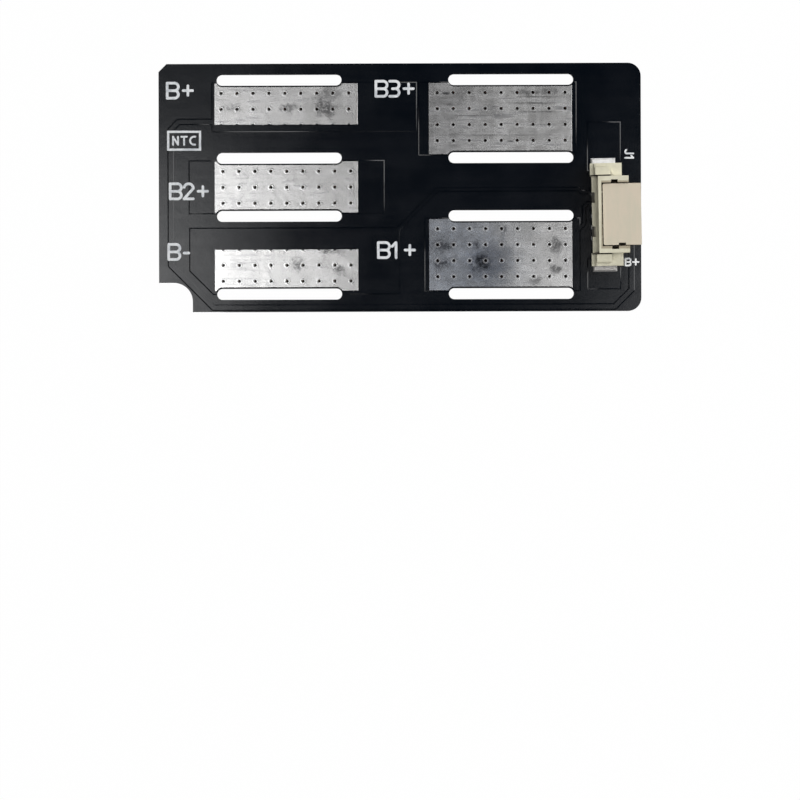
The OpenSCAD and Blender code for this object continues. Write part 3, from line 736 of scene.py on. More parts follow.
MASK_FLAT = MaskFinish("mask_on_laminate", (0.0014, 0.003, 0.006), (0.0024, 0.0042, 0.0076))
MASK_COPPER = MaskFinish("mask_on_copper", (0.004, 0.0046, 0.0066), (0.0064, 0.0064, 0.0078), (0.13, 0.17))
HOUSING = PlasticFinish("cream_moulding", (0.79, 0.755, 0.585), (0.66, 0.63, 0.48), flow_share=0.2)
INSERT = PlasticFinish(
    "tan_moulding", (0.71, 0.62, 0.49), (0.655, 0.6, 0.47), seed=3, rough=(0.34, 0.48), flow_share=0.6
)
HOLD_DOWN = MetalFinish("plated_sheet", (0.66, 0.64, 0.61), (0.5, 0.48, 0.46), (0.3, 0.45), 0.06, 0.3)
SOLDER = MetalFinish("solder", (0.7, 0.69, 0.67), (0.45, 0.44, 0.43), (0.25, 0.4), 0.06, 0.3)
# Painted light: paler, less metallic lit copies of the sheet and the solder, for the upper hold-down only
PAINTED_LIT_SHEET = MetalFinish("sheet_painted_lit", (0.97, 0.965, 0.95), (0.82, 0.81, 0.79), (0.3, 0.45), 0.03, 0)
PAINTED_LIT_SOLDER = MetalFinish("solder_painted_lit", (0.97, 0.97, 0.96), (0.7, 0.7, 0.7), (0.25, 0.4), 0.05, 0)
CONTACT = MetalFinish("contact_strip", (0.82, 0.79, 0.72), (0.66, 0.63, 0.57))
COPPER = MetalFinish("copper_foil", (0.78, 0.42, 0.27), (0.55, 0.28, 0.18), (0.35, 0.55))

# Colours of the stains, then the five pads, each named after its node
GREY = (0.4, 0.4, 0.41)
FLUX = (0.17, 0.17, 0.175)
BLUE = (0.2, 0.235, 0.3)
NIGHT = (0.12, 0.145, 0.2)
SOOT = (0.03, 0.033, 0.04)
PADS = (
    TinFinish("tin_b_plus", 1, 0.4, stains=(
        Stain((12.4, 1.9), 1.7, FLUX, 0.9),
        Stain((12.8, 3.4), 1.2, FLUX, 0.7, (0.7, 1.2)),
        Stain((8.4, 1.8), 1.1, FLUX, 0.9, (0.8, 1.4)),
        Stain((1.9, 1.9), 1.0, FLUX, 0.6, (0.7, 1.5)),
    )),
    TinFinish("tin_b3_plus", 2, 0.8, 0.12, stains=(
        Stain((0, 4.2), 10, GREY, 0.6, (1, 0.6), 0.05, 0.3),
        Stain((7.4, 4.9), 1.4, FLUX, 0.5, (0.8, 1.2)),
        Stain((1.9, 6.9), 0.6, SOOT, 0.8, (0.8, 3)),
        Stain((2.2, 5.6), 0.6, FLUX, 0.7, (0.8, 3)),
        Stain((8.0, 2.15), 0.5, FLUX, 0.75, (0.055, 6), 0.2, 1),
        Stain((4.6, 4.35), 0.5, FLUX, 0.7, (0.11, 5), 0.2, 1),
        Stain((12.3, 6.45), 0.5, FLUX, 0.7, (0.13, 4), 0.3, 1.4),
        Stain((12.1, 5.75), 0.5, SOOT, 0.6, (0.12, 3.2), 0.3, 1.4),
        Stain((12.7, 4.75), 0.5, FLUX, 0.7, (0.14, 3), 0.4, 1.4),
        Stain((12.7, 3.3), 0.5, FLUX, 0.6, (0.2, 3), 0.4, 1.4),
        Stain((11.0, 7.0), 0.9, SOOT, 0.55, (0.4, 1.8)),
        Stain((13.2, 7.0), 0.9, SOOT, 0.5, (0.4, 1.8)),
        Stain((9.2, 1.45), 0.5, SOOT, 0.75, (0.8, 3)),
    )),
    TinFinish("tin_b2_plus", 3, 0.3, 0.06),
    TinFinish("tin_b1_plus", 4, 0.3, 0.3, stains=(
        Stain((2.4, 3.4), 12, BLUE, 0.72, (1, 0.7), 0.1, 0.3),
        Stain((6.8, 3.0), 4.0, NIGHT, 0.7, (1, 1), 0.3, 0.7),
        Stain((5.9, 3.1), 1.5, SOOT, 1.0, speckle=0.35),
        Stain((5.4, 5.1), 0.8, SOOT, 0.8),
        Stain((8.6, 7.0), 0.7, SOOT, 0.7),
        Stain((1.7, 5.0), 1.3, SOOT, 0.8, (0.8, 1.2)),
        Stain((1.5, 3.1), 1.3, SOOT, 0.85, (0.8, 1.2)),
        Stain((14.4, 5.0), 1.1, FLUX, 0.9, (1.3, 0.8)),
        Stain((14.4, 2.3), 0.9, FLUX, 0.9, (0.8, 1.2)),
        Stain((12.0, 1.0), 0.8, FLUX, 0.7, (0.7, 1.4)),
    )),
    TinFinish("tin_b_minus", 5, 0.25, 0.05, stains=(
        Stain((9.2, 2.9), 1.1, FLUX, 0.85),
        Stain((14.0, 2.5), 0.9, FLUX, 0.9),
        Stain((13.3, 4.5), 1.1, FLUX, 0.8, (0.5, 2)),
    )),
)


# --- Meshes ---------------------------------------------------------------


def paint(node: Thing, *materials: bpy.types.Material) -> None:
    """Give an object its materials in place of what it had.

    Args:
        node: Object to dress.
        materials: Materials in the order of the mesh's indices.
    """
    node.data.materials.clear()
    for material in materials:
        node.data.materials.append(material)


def piece(name: str, bm: Solid, slot: Slot, *nodes: str) -> Thing:
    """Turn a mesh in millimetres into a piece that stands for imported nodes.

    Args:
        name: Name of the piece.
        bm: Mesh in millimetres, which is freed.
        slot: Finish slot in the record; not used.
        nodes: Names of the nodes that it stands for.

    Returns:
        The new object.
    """
    bmesh.ops.scale(bm, vec=(MM, MM, MM), verts=bm.verts)
    mesh = bpy.data.meshes.new(name)
    bm.to_mesh(mesh)
    bm.free()
    thing = bpy.data.objects.new(name, mesh)
    bpy.context.scene.collection.objects.link(thing)
    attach(thing, "root")
    if nodes:
        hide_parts(*nodes)
    return thing


def solid_mesh(name: str, join: float = 1e-4) -> Solid:
    """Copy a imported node's mesh, joined along its edges, in millimetres.

    Args:
        name: Name of the node.
        join: Distance within which corners are one.

    Returns:
        The copy.
    """
    bm = bmesh.new()
    bm.from_mesh(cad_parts[name].data)
    bmesh.ops.scale(bm, vec=(1 / MM, 1 / MM, 1 / MM), verts=bm.verts)
    bmesh.ops.remove_doubles(bm, verts=bm.verts, dist=join)
    bm.normal_update()
    return bm


@dataclass(frozen=True)
class Rounding:
    """How the outer edges of a piece are rounded. Angles are in degrees."""

    width: float
    # Edges that lie lower than this stay sharp
    above: float = -1.0
    steps: int = 2
    flat_angle: float = 0.5
    edge_angle: float = 50.0
    crease: float = 35.0
    # Shortest edge that is rounded, for each unit of the width
    shortest: float = 3.0
    face_weight: int = 100

    def build(self, name: str, slot: Slot) -> Thing:
        """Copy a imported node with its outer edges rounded.

        Args:
            name: Name of the node, which the copy replaces.
            slot: Finish slot in the record.

        Returns:
            The new piece.
        """
        bm = solid_mesh(name)
        flat = math.radians(self.flat_angle)
        bmesh.ops.dissolve_limit(bm, angle_limit=flat, verts=bm.verts, edges=bm.edges)
        edges = [
            edge
            for edge in bm.edges
            if len(edge.link_faces) == 2
            and edge.calc_face_angle(0) > math.radians(self.edge_angle)
            and edge.calc_length() > self.shortest * self.width
            and min(vert.co.z for vert in edge.verts) >= self.above
        ]
        bmesh.ops.bevel(
            bm, geom=edges, offset=self.width, offset_type="OFFSET", segments=self.steps, profile=0.5,
            affect="EDGES", clamp_overlap=True,
        )
        thing = piece(name + "_rounded", bm, slot, name)
        for polygon in thing.data.polygons:
            polygon.use_smooth = True
        thing.data.set_sharp_from_angle(angle=math.radians(self.crease))
        # Large faces rule the shading, so that they stay flat beside rounded edges
        shading = thing.modifiers.new("even", "WEIGHTED_NORMAL")
        shading.keep_sharp = True
        shading.weight = self.face_weight
        return thing


@dataclass(frozen=True)
class Easing:
    """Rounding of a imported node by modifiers, which leave its mesh as it is."""

    width: float
    join: float = 1e-4
    steps: int = 2
    edge_angle: float = 40.0

    def apply(self, node: Thing) -> None:
        """Add the modifiers.

        Args:
            node: The node.
        """
        weld = node.modifiers.new("joined", "WELD")
        weld.merge_threshold = self.join * MM
        bevel = node.modifiers.new("eased", "BEVEL")
        bevel.width = self.width * MM
        bevel.segments = self.steps
        bevel.limit_method = "ANGLE"
        bevel.angle_limit = math.radians(self.edge_angle)


def around(count: int) -> list[tuple[int, int]]:
    """Each number of a ring with the next."""
    return [(i, (i + 1) % count) for i in range(count)]


def along_each(first: np.ndarray, second: np.ndarray) -> np.ndarray:
    """Dot product of each pair of rows."""
    return np.einsum("ij,ij->i", first, second)


# --- Board ----------------------------------------------------------------


class Coat(IntEnum):
    """Materials of the board's mesh, in their order."""

    LAMINATE = 0
    COPPER = 1
    EDGE = 2


@dataclass(frozen=True)
class Side:
    """One face of the board: the mask over copper and the mask over bare laminate."""

    over_copper: float
    over_laminate: float

    @property
    def up(self) -> float:
        """Which way the side faces: 1 for up, -1 for down."""
        return 1.0 if self.over_copper > self.over_laminate else -1.0


@dataclass
class CoatedLaminate:
    """The laminate with its mask coats, which flow down over the copper's edges."""

    # Where a slope starts inside the copper's edge and ends outside it, and how rounded it is
    foot_in: float = 0.03
    foot_out: float = 0.09
    steps: int = 5
    ease: float = 0.15
    dent_radius: float = 0.3
    dent_depth: float = 0.095
    dent_sides: int = 20
    # Radius and depth of each ring of a dimple, as shares of the whole
    dent_shape: tuple[Plan, ...] = ((1, 0), (0.82, 0.05), (0.62, 0.2), (0.42, 0.55), (0.22, 0.9))
    dent_least: float = 0.8
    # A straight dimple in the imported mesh: how deep it is at least, and how far its corners lie apart
    pit_least: float = 0.06
    pit_width: float = 0.35
    seed: int = 11
    # Heights closer than this are the same
    level: float = 1e-3
    # Upward share of a normal that counts as flat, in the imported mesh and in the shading
    flat_packed: float = 0.99
    flat_from: float = 0.999
    # Upward share of a normal that still counts as upright, in the same order
    upright_packed: float = 0.1
    upright_to: float = 0.05
    # Least of the sum that keeps a sharp corner's move short
    blunt: float = 0.35
    # Cut faces that meet at less than this, in degrees, are shaded as one
    crease: float = 15.0
    # What counts as nothing, and the distance within which a filled face's corners are one
    tiny: float = 1e-9
    meet: float = 1e-6
    # How often crossed sides of a slope's foot are drawn together
    passes: int = 6
    sides: list[Side] = field(default_factory=list)

    def build(self) -> Thing:
        """Build the board.

        Returns:
            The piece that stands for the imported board.
        """
        low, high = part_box("board")
        flat_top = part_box("legend_ink")[0][2] / MM
        top = high[2] / MM
        bottom = low[2] / MM
        self.sides = [Side(top, flat_top), Side(bottom, bottom + top - flat_top)]
        bm = solid_mesh("board")
        dents = self.take_dents(bm)
        loops = [self.flow(bm, side) for side in self.sides]
        self.press_dents(bm, dents, loops[1])
        for side in self.sides:
            self.fill(bm, side.over_copper, side.up, Coat.COPPER)
            self.fill(bm, side.over_laminate, side.up, Coat.LAMINATE)
        bmesh.ops.remove_doubles(bm, verts=bm.verts, dist=2 * self.level)
        self.sort_faces(bm)
        board = piece("coated_board", bm, Slot.MASK, "board")
        self.settle_normals(board)
        # The mask over copper gets painted shade at the covered rows of holes
        covered = replace(MASK_COPPER, rows=tuple(TabPads.covered_row(name) for name in TabPads.end_pads))
        paint(board, MASK_FLAT.material(), covered.material(), LaminateFinish().material())
        return board

    def near(self, value: float, other: float) -> bool:
        """Whether two heights are the same."""
        return abs(value - other) < self.level

    def flow(self, bm: Solid, side: Side) -> list[Rim]:
        """Turn the upright steps round the copper into soft slopes, and open both faces.

        Args:
            bm: The board's mesh.
            side: The side to work on.

        Returns:
            The rims of the copper's plateaus.
        """
        heights = (side.over_copper, side.over_laminate)
        walls = []
        flats = []
        for face in bm.faces:
            levels = [vert.co.z for vert in face.verts]
            if abs(face.normal.z) > self.flat_packed:
                if any(self.near(levels[0], height) for height in heights):
                    flats.append(face)
            elif all(any(self.near(z, height) for height in heights) for z in levels):
                walls.append(face)
        loops = self.rims(walls, side.over_copper)
        bmesh.ops.delete(bm, geom=walls + flats, context="FACES")
        for loop in loops:
            self.slope(bm, side, loop)
        return loops

    def slope(self, bm: Solid, side: Side, loop: Rim) -> None:
        """Let the mask flow down from a rim.

        Args:
            bm: The board's mesh.
            side: The side to work on.
            loop: The rim.
        """
        corners = np.array(loop)
        starts = corners[:, :2] - corners[:, 2:] * self.foot_in
        ends = self.feet(loop)
        rings = []
        for step in range(self.steps + 1):
            share = step / self.steps
            drop = share + self.ease * (share * share * (3 - 2 * share) - share)
            z = side.over_copper + (side.over_laminate - side.over_copper) * drop
            rings.append([bm.verts.new((x, y, z)) for x, y in starts + (ends - starts) * share])
        for upper, lower in zip(rings, rings[1:]):
            for i, j in around(len(loop)):
                quad = [upper[i], upper[j], lower[j], lower[i]]
                bm.faces.new(quad if side.up > 0 else quad[::-1])

    def rims(self, walls: Sequence[bmesh.types.BMFace], height: float) -> list[Rim]:
        """Follow the rims of the plateaus.

        Args:
            walls: Upright faces round the plateaus.
            height: Height of the plateaus.

        Returns:
            The rims, with their outside on the right.
        """
        links: dict[bmesh.types.BMVert, list[tuple[bmesh.types.BMVert, Vector]]] = {}
        for face in walls:
            for edge in face.edges:
                if all(self.near(vert.co.z, height) for vert in edge.verts):
                    for vert in edge.verts:
                        links.setdefault(vert, []).append((edge.other_vert(vert), face.normal.copy()))
        loops = []
        seen = set()
        for start in links:
            if start in seen:
                continue
            chain = [start]
            seen.add(start)
            here = start
            while True:
                ahead = [other for other, _ in links[here] if other not in seen]
                if not ahead:
                    break
                here = ahead[0]
                seen.add(here)
                chain.append(here)
            ahead = next(normal for other, normal in links[chain[0]] if other is chain[1])
            run = chain[1].co.xy - chain[0].co.xy
            if run.y * ahead.x - run.x * ahead.y < 0:
                chain.reverse()
            loops.append(self.outward([vert.co.xy.copy() for vert in chain]))
        return loops

    def feet(self, loop: Rim) -> np.ndarray:
        """Where a slope ends on the laminate, with sides that would turn round drawn to a point.

        Args:
            loop: Place and move of each corner of the rim.

        Returns:
            A place for each corner.
        """
        corners = np.array(loop)
        places, moves = corners[:, :2], corners[:, 2:]
        ends = places + moves * self.foot_out
        sides = np.roll(places, -1, axis=0) - places
        for _ in range(self.passes):
            along = along_each(np.roll(ends, -1, axis=0) - ends, sides)
            for i in np.flatnonzero(along < -self.tiny):
                j = (i + 1) % len(ends)
                ends[i] = ends[j] = (ends[i] + ends[j]) / 2
        return ends

    def outward(self, points: Sequence[Vector]) -> Rim:
        """Where each corner of a loop goes when both of its sides move out by one.

        Args:
            points: Corners of the loop, with its outside on the right.

        Returns:
            Place and move of each corner.
        """
        sides = [(after - here).normalized() for here, after in zip(points, [*points[1:], points[0]])]
        normals = [Vector((side.y, -side.x)) for side in sides]
        moved = []
        for i, point in enumerate(points):
            before, after = normals[i - 1], normals[i]
            move = (before + after) / max(self.blunt, 1 + before.dot(after))
            moved.append((point.x, point.y, move.x, move.y))
        return moved

    def take_dents(self, bm: Solid) -> list[Plan]:
        """Remove the straight dimples of the underside.

        Args:
            bm: The board's mesh.

        Returns:
            The middles of the dimples.
        """
        floor = self.sides[1].over_copper
        heights = {f: f.calc_center_median().z for f in bm.faces if f.normal.z < -self.flat_packed}
        depth = next(z for z in sorted(heights.values()) if z - floor > self.pit_least)
        pits = [face for face, z in heights.items() if self.near(z, depth)]
        rings = set()
        for face in pits:
            rings.update(face.verts)
        groups: dict[Plan, list[bmesh.types.BMVert]] = {}
        for vert in rings:
            key = next((k for k in groups if math.dist(k, vert.co.xy) < self.pit_width), None)
            groups.setdefault(key or (vert.co.x, vert.co.y), []).append(vert)
        middles = []
        for members in groups.values():
            xs = [vert.co.x for vert in members]
            ys = [vert.co.y for vert in members]
            middles.append(((min(xs) + max(xs)) / 2, (min(ys) + max(ys)) / 2))
        walls = [
            face
            for face in bm.faces
            if abs(face.normal.z) < self.upright_packed
            and all(v.co.z < depth + self.level for v in face.verts)
            and any(v in rings for v in face.verts)
        ]
        bmesh.ops.delete(bm, geom=pits + walls, context="FACES")
        return middles

    def room(self, x: float, y: float, loops: Sequence[Rim]) -> float:
        """How far a point lies from the nearest rim.

        Args:
            x: Place of the point.
            y: Place of the point.
            loops: The rims.

        Returns:
            The distance.
        """
        here = np.array((x, y))
        starts = np.array([corner[:2] for loop in loops for corner in loop])
        ends = np.array([corner[:2] for loop in loops for corner in [*loop[1:], loop[0]]])
        run = ends - starts
        share = along_each(here - starts, run) / np.maximum(along_each(run, run), self.tiny)
        nearest = starts + run * np.clip(share, 0, 1)[:, None]
        return float(np.min(np.linalg.norm(nearest - here, axis=1)))

    def press_dents(self, bm: Solid, middles: Iterable[Plan], loops: Sequence[Rim]) -> None:
        """Press a soft dimple into the underside's mask at each plated hole.

        Args:
            bm: The board's mesh.
            middles: The middles of the holes.
            loops: The rims of the plateaus, which no dimple may reach.
        """
        floor = self.sides[1].over_copper
        chance = random.Random(self.seed)
        for x, y in sorted(middles):
            depth = self.dent_depth * chance.uniform(self.dent_least, 1)
            turn = chance.uniform(0, math.tau)
            reach = min(self.dent_radius, self.room(x, y, loops) - 2 * self.foot_in)
            rings = []
            for share, drop in self.dent_shape:
                ring = []
                for i in range(self.dent_sides):
                    angle = turn + math.tau * i / self.dent_sides
                    r = reach * share
                    place = (x + r * math.cos(angle), y + r * math.sin(angle), floor + depth * drop)
                    ring.append(bm.verts.new(place))
                rings.append(ring)
            faces = []
            for outer, inner in zip(rings, rings[1:]):
                for i, j in around(self.dent_sides):
                    faces.append(bm.faces.new([outer[j], outer[i], inner[i], inner[j]]))
            tip = bm.verts.new((x, y, floor + depth))
            for i, j in around(self.dent_sides):
                faces.append(bm.faces.new([rings[-1][j], rings[-1][i], tip]))
            for face in faces:
                face.material_index = Coat.COPPER

    def fill(self, bm: Solid, height: float, up: float, coat: Coat) -> None:
        """Close the open face at one height.

        Args:
            bm: The board's mesh.
            height: Height of the face.
            up: Which way it faces.
            coat: Material of its triangles.
        """
        edges = [
            edge
            for edge in bm.edges
            if len(edge.link_faces) == 1 and all(self.near(vert.co.z, height) for vert in edge.verts)
        ]
        verts = list({vert for edge in edges for vert in edge.verts})
        number = {vert: i for i, vert in enumerate(verts)}
        pairs = [(number[edge.verts[0]], number[edge.verts[1]]) for edge in edges]
        points = [vert.co.xy for vert in verts]
        flat, _, triangles, origin, _, _ = delaunay_2d_cdt(points, pairs, [], 0, self.meet, True)
        corners = np.array([tuple(point) for point in flat])
        loops = np.array([[tuple(points[a]), tuple(points[b])] for a, b in pairs])
        inside = self.within(corners[np.array(triangles)].mean(axis=1), loops)
        made = {}
        for i, sources in enumerate(origin):
            made[i] = verts[sources[0]] if sources else bm.verts.new((*flat[i], height))
        for triangle, kept in zip(triangles, inside):
            if not kept:
                continue
            face = bm.faces.new([made[i] for i in (triangle if up > 0 else triangle[::-1])])
            face.material_index = coat

    @staticmethod
    def within(points: np.ndarray, segments: np.ndarray) -> np.ndarray:
        """Whether points lie inside closed loops, by counting crossings.

        Args:
            points: Points, N by 2.
            segments: Segments of the loops, M by 2 by 2.

        Returns:
            N booleans.
        """
        (ax, ay), (bx, by) = segments[:, 0].T, segments[:, 1].T
        found = []
        for x, y in points:
            crossed = (ay > y) != (by > y)
            slant = (bx[crossed] - ax[crossed]) / (by[crossed] - ay[crossed])
            at = ax[crossed] + (y - ay[crossed]) * slant
            found.append(np.count_nonzero(at > x) % 2 == 1)
        return np.array(found)

    def sort_faces(self, bm: Solid) -> None:
        """Give the board's edge and the walls of its slots the look of cut laminate.

        Args:
            bm: The board's mesh.
        """
        bm.normal_update()
        top, bottom = self.sides
        for face in bm.faces:
            middle = face.calc_center_median().z
            upright = abs(face.normal.z) < self.upright_to
            if upright or bottom.over_laminate + self.level < middle < top.over_laminate - self.level:
                face.material_index = Coat.EDGE

    def settle_normals(self, board: Thing) -> None:
        """Shade flat faces flat, let the slopes run into them and keep the corners of the edge sharp.

        Args:
            board: The board's piece.
        """
        mesh = board.data
        count = len(mesh.polygons)
        faces = np.empty(count * 3)
        totals = np.empty(count, dtype=np.int64)
        corners = np.empty(len(mesh.loops), dtype=np.int64)
        mesh.polygons.foreach_get("normal", faces)
        mesh.polygons.foreach_get("loop_total", totals)
        mesh.loops.foreach_get("vertex_index", corners)
        faces = faces.reshape(-1, 3)
        owner = np.repeat(np.arange(count), totals)
        flat = np.abs(faces[:, 2]) > self.flat_from
        upright = np.abs(faces[:, 2]) < self.upright_to
        sloped = ~flat & ~upright
        normals = faces[owner].copy()
        for group, closeness in ((sloped, -1.0), (upright, math.cos(math.radians(self.crease)))):
            chosen = group[owner]
            total = np.zeros((len(mesh.vertices), 3))
            np.add.at(total, corners[chosen], faces[owner[chosen]])
            length = np.linalg.norm(total, axis=1, keepdims=True)
            mean = total / np.maximum(length, self.tiny)
            near = along_each(mean[corners], faces[owner]) > closeness
            normals[chosen & near] = mean[corners][chosen & near]
        level = np.zeros(len(mesh.vertices))
        np.add.at(level, corners[flat[owner]], faces[owner[flat[owner]], 2])
        level = np.sign(level)
        joined = sloped[owner] & (level[corners] != 0)
        normals[joined] = 0
        normals[joined, 2] = level[corners][joined]
        mesh.polygons.foreach_set("use_smooth", np.ones(count, dtype=bool))
        mesh.normals_split_custom_set(normals.tolist())


@dataclass
class CopperLayer:
    """Foils and plated holes of the five nets, and the two pads under the hold-downs."""

    nodes: tuple[str, ...] = (
        "copper_b_plus", "copper_b3_plus", "copper_b2_plus", "copper_b1_plus", "copper_b_minus",
        "anchor_pad_upper", "anchor_pad_lower",
    )

    def dress(self) -> None:
        """Give the copper its finish."""
        material = COPPER.material()
        for name in self.nodes:
            paint(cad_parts[name], material)


@dataclass
class TabPads:
    """The solder coat of the five tab pads, each with its own wear."""

    easing: Easing = Easing(0.015)
    # Holes from the left edge, and the row beside the slot from the edge there
    hole_inset: ClassVar[float] = 0.97
    row_inset: ClassVar[float] = 1.1
    # Place of the covered row of holes: from the left edge, and past the upper or lower edge
    end_pads: ClassVar[dict[str, Plan]] = {"tin_b_plus": (0.77, -0.04), "tin_b_minus": (0.97, 0.04)}

    @classmethod
    def first_hole(cls, name: str) -> Plan:
        """Middle of the hole nearest a pad's left edge in the row beside its slot.

        Args:
            name: Node of the pad.

        Returns:
            The middle, in the row's frame.
        """
        low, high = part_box(name)
        inset = cls.end_pads.get(name, (cls.hole_inset, 0))[0]
        edge = low[1] / MM + cls.row_inset if name == "tin_b_minus" else high[1] / MM - cls.row_inset
        return (low[0] / MM + inset, edge)

    @classmethod
    def covered_row(cls, name: str) -> Plan:
        """First hole of the row that lies on an end pad's far edge.

        Args:
            name: Node of the pad.

        Returns:
            The middle of the row's first hole, in the row's frame.
        """
        low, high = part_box(name)
        inset, beyond = cls.end_pads[name]
        return (low[0] / MM + inset, (low[1] if beyond < 0 else high[1]) / MM + beyond)

    def dress(self) -> None:
        """Give each pad its finish."""
        for finish in PADS:
            name = finish.name
            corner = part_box(name)[0]
            rows = (self.covered_row(name),) if name in self.end_pads else ()
            placed = replace(
                finish, corner=(corner[0] / MM, corner[1] / MM), first_hole=self.first_hole(name), rows=rows
            )
            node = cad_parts[name]
            paint(node, placed.material())
            self.easing.apply(node)


@dataclass
class Legend:
    """The printed marks."""

    node: str = "legend_ink"
    easing: Easing = Easing(0.012)

    def dress(self) -> None:
        """Give the print its finish."""
        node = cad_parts[self.node]
        paint(node, InkFinish().material())
        self.easing.apply(node)


@dataclass
class Connector:
    """The side-entry connector: housing, insert, contacts, hold-downs and their solder."""

    housing_round: float = 0.05
    insert_round: float = 0.06
    metal_round: float = 0.03
    # Edges of the mouldings that lie lower than this over the board stay sharp
    sharp_to: float = 0.4
    contacts: int = 5
    # The step's two recesses: from its left edge, their size, and their near ends from the middle
    step_inset: float = 0.15
    recess: Plan = (0.35, 1.16)
    recess_near: float = 1.34
    # Colour of the painted shade in the recesses
    painted_recess_shade: Colour = (0.03, 0.026, 0.02)
    # Painted shade in the gap round the insert: its width, colour, strength and soft edge
    gap: float = 0.16
    painted_gap_shade: Colour = (0.2, 0.13, 0.065)
    gap_shade_strength: float = 0.6
    gap_shade_soft: float = 0.12

    def build(self) -> list[Thing]:
        """Build the rounded pieces and dress them.

        Returns:
            The new pieces.
        """
        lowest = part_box("board")[1][2] / MM + self.sharp_to
        # The housing's finish carries the painted shade of the recesses and the gap
        moulded = replace(HOUSING, regions=self.shaded_regions())
        metal = Rounding(self.metal_round)
        pieces = []
        for name, slot, rounding, finish in (
            ("connector_housing", Slot.HOUSING, Rounding(self.housing_round, lowest), moulded),
            ("connector_insert", Slot.INSERT, Rounding(self.insert_round, lowest), INSERT),
            # Painted light: the upper hold-down gets the lit copy of the sheet
            ("hold_down_upper", Slot.HOLD_DOWN, metal, PAINTED_LIT_SHEET),
            ("hold_down_lower", Slot.HOLD_DOWN, metal, HOLD_DOWN),
        ):
            rounded = rounding.build(name, slot)
            paint(rounded, finish.material())
            pieces.append(rounded)
        return pieces

    def shaded_regions(self) -> tuple[Region, ...]:
        """Paint shade into the two recesses in the step and the gap round the insert.

        Returns:
            The regions.
        """
        low, high = (corner / MM for corner in map(Vector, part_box("connector_housing")))
        middle = (low.y + high.y) / 2
        left = low.x + self.step_inset
        wide, long = self.recess
        recesses = [
            Region((left, start), (left + wide, start + long), self.painted_recess_shade)
            for start in (middle - self.recess_near - long, middle + self.recess_near)
        ]
        inner, outer = (corner / MM for corner in map(Vector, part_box("connector_insert")))
        corners = (inner.x - self.gap, inner.y - self.gap), (outer.x, outer.y + self.gap / 2)
        return (*recesses, Region(*corners, self.painted_gap_shade, self.gap_shade_strength, self.gap_shade_soft))

    def dress(self) -> None:
        """Dress the contacts and the solder."""
        strip = CONTACT.material()
        solder = SOLDER.material()
        for number in range(1, self.contacts + 1):
            paint(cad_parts[f"contact_{number}"], strip)
            paint(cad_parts[f"contact_solder_{number}"], solder)
        # Painted light: the upper hold-down's solder gets the lit copy
        paint(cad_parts["hold_down_solder_upper"], PAINTED_LIT_SOLDER.material())
        paint(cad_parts["hold_down_solder_lower"], solder)


# --- Studio ---------------------------------------------------------------


@dataclass(frozen=True)
class Softbox:
    """A soft lamp: where it hangs, what it points at, its size and how bright its face is."""

    name: str
    place: tuple[float, float, float]
    aim: tuple[float, float, float]
    size: Plan
    glow: float

    def build(self) -> None:
        """Hang the lamp."""
        data = bpy.data.lights.new(self.name, "AREA")
        data.shape = "RECTANGLE"
        data.size, data.size_y = (side * MM for side in self.size)
        data.energy = WATTS_PER_GLOW * data.size * data.size_y * self.glow
        lamp = bpy.data.objects.new(self.name, data)
        place = Vector(self.place) * MM
        lamp.location = place
        lamp.rotation_euler = (Vector(self.aim) * MM - place).to_track_quat("-Z", "Y").to_euler()
        lamp.visible_camera = False
        bpy.context.scene.collection.objects.link(lamp)


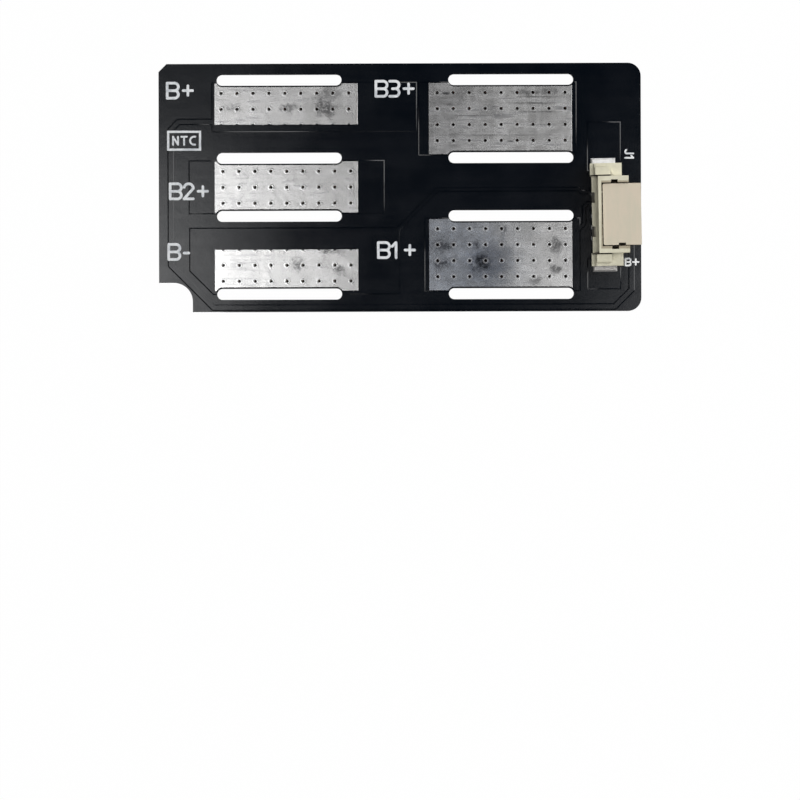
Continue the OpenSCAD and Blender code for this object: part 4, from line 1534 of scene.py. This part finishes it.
@dataclass
class Studio:
    """Pale floor, soft lamps and a world that is bright low down and dark overhead."""

    floor_reach: float = 2500.0
    floor_drop: float = 0.05
    floor_tone: float = 0.82
    floor_worn: float = 0.985
    floor_rough: float = 0.9
    floor_grain: Grain = Grain(0.02, 3)
    grain_span: Span = (0.3, 0.7)
    # Share of white in what the camera sees of the floor
    white_share: float = 0.99
    # Mirrored rays that are shorter than this pass through the floor
    clear_within: float = 1.5
    # Strength of the world at the sides and overhead, and the heights between which it falls
    world_light: Span = (0.28, 0.008)
    world_fall: Span = (0.72, 0.94)
    boxes: tuple[Softbox, ...] = (
        Softbox("left_sheen", (-76.5, -59, 260), (-76.5, -59, 0), (103, 135), 3.3),
        Softbox("left_rear_sheen", (-76, 26, 260), (-76, 26, 0), (110, 40), 0.3),
        Softbox("right_sheen", (79, -46, 260), (79, -46, 0), (92, 92), 2.0),
        Softbox("key", (300, 145, 250), (0, 0, 0), (480, 480), 3.1),
        Softbox("left_sheen_below", (-80, 5, -260), (-80, 5, 0), (110, 160), 2.8),
        Softbox("right_sheen_below", (86, -30, -260), (86, -30, 0), (100, 90), 1.8),
        Softbox("key_below", (300, -145, -250), (0, 0, 0), (480, 480), 2.4),
    )

    def build(self) -> None:
        """Set up the studio."""
        self.lay_floor()
        self.set_world()
        for box in self.boxes:
            box.build()

    def lay_floor(self) -> None:
        """Lay the floor: white to the camera but for a share that keeps the shadow."""
        reach = self.floor_reach * MM
        z = -self.floor_drop * MM
        mesh = bpy.data.meshes.new("floor")
        corners = [(-reach, -reach, z), (reach, -reach, z), (reach, reach, z), (-reach, reach, z)]
        mesh.from_pydata(corners, [], [(0, 1, 2, 3)])
        floor = bpy.data.objects.new("floor", mesh)
        bpy.context.scene.collection.objects.link(floor)
        paint(floor, self.floor_material())

    def floor_material(self) -> bpy.types.Material:
        """Build the floor's material, which is clear from below.

        Returns:
            The material.
        """
        graph = Graph("pale_floor")
        grain = graph.spread(graph.noise(self.floor_grain), self.grain_span)
        tone = self.floor_tone
        graph.colour(graph.blend(grain, (tone,) * 3, (tone * self.floor_worn,) * 3))
        graph.set("Roughness", self.floor_rough)
        rays = graph.node("LightPath").outputs
        seen = graph.math("MAXIMUM", rays["Is Camera Ray"], rays["Is Glossy Ray"])
        seen = graph.math("MAXIMUM", seen, rays["Is Transmission Ray"])
        close = graph.math("LESS_THAN", rays["Ray Length"], self.clear_within * MM)
        unseen = graph.times(rays["Is Glossy Ray"], close)
        unseen = graph.math("MAXIMUM", unseen, rays["Is Shadow Ray"])
        unseen = graph.math("MAXIMUM", graph.node("NewGeometry").outputs["Backfacing"], unseen)
        white = graph.node("Emission").outputs["Emission"]
        clear = graph.node("BsdfTransparent").outputs["BSDF"]
        face = graph.shader.outputs["BSDF"]
        for share, over in ((graph.times(seen, self.white_share), white), (unseen, clear)):
            mix = graph.node("MixShader")
            for source, target in zip((share, face, over), mix.inputs):
                graph.link(source, target)
            face = mix.outputs["Shader"]
        graph.link(face, graph.output.inputs["Surface"])
        return graph.material

    def set_world(self) -> None:
        """Set the world: soft at the sides, dark straight above and below, white to the camera."""
        world = bpy.data.worlds.new("soft_room")
        bpy.context.scene.world = world
        world.use_nodes = True
        sky = Nodes(world.node_tree)
        place = sky.split(sky.node("TexCoord").outputs["Generated"])
        light = sky.spread(sky.math("ABSOLUTE", place["Z"]), self.world_fall, self.world_light)
        seen = sky.math("MAXIMUM", light, sky.node("LightPath").outputs["Is Camera Ray"])
        sky.link(seen, sky.tree.nodes["Background"].inputs["Strength"])


@dataclass
class ViewCamera:
    """A long lens straight above, with the board in the upper half of the frame."""

    frame_width: float = 90.24
    distance: float = 1000.0
    sensor: float = 36.0
    place: Plan = (-0.067, -23.975)
    roll: float = -0.18
    # Nearest and farthest that it sees
    clip: Span = (10.0, 20000.0)

    def build(self) -> None:
        """Set up the camera."""
        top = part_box("board")[1][2] / MM
        data = bpy.data.cameras.new("camera")
        data.sensor_width = self.sensor
        data.lens = self.sensor * self.distance / self.frame_width
        data.clip_start, data.clip_end = (end * MM for end in self.clip)
        camera = bpy.data.objects.new("camera", data)
        camera.location = (self.place[0] * MM, self.place[1] * MM, (top + self.distance) * MM)
        camera.rotation_euler = (0, 0, math.radians(self.roll))
        bpy.context.scene.collection.objects.link(camera)
        bpy.context.scene.camera = camera


def main() -> None:
    """Build the looks in order and report each piece."""
    logging.basicConfig(level=logging.INFO, format="%(name)s: %(message)s")
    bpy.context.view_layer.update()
    bpy.context.scene.view_settings.view_transform = "Standard"
    ViewCamera().build()
    pieces = [CoatedLaminate().build()]
    CopperLayer().dress()
    TabPads().dress()
    Legend().dress()
    connector = Connector()
    pieces += connector.build()
    connector.dress()
    Studio().build()
    for thing in pieces:
        LOG.info("%s: %d faces", thing.name, len(thing.data.polygons))


if __name__ == "__main__":
    main()
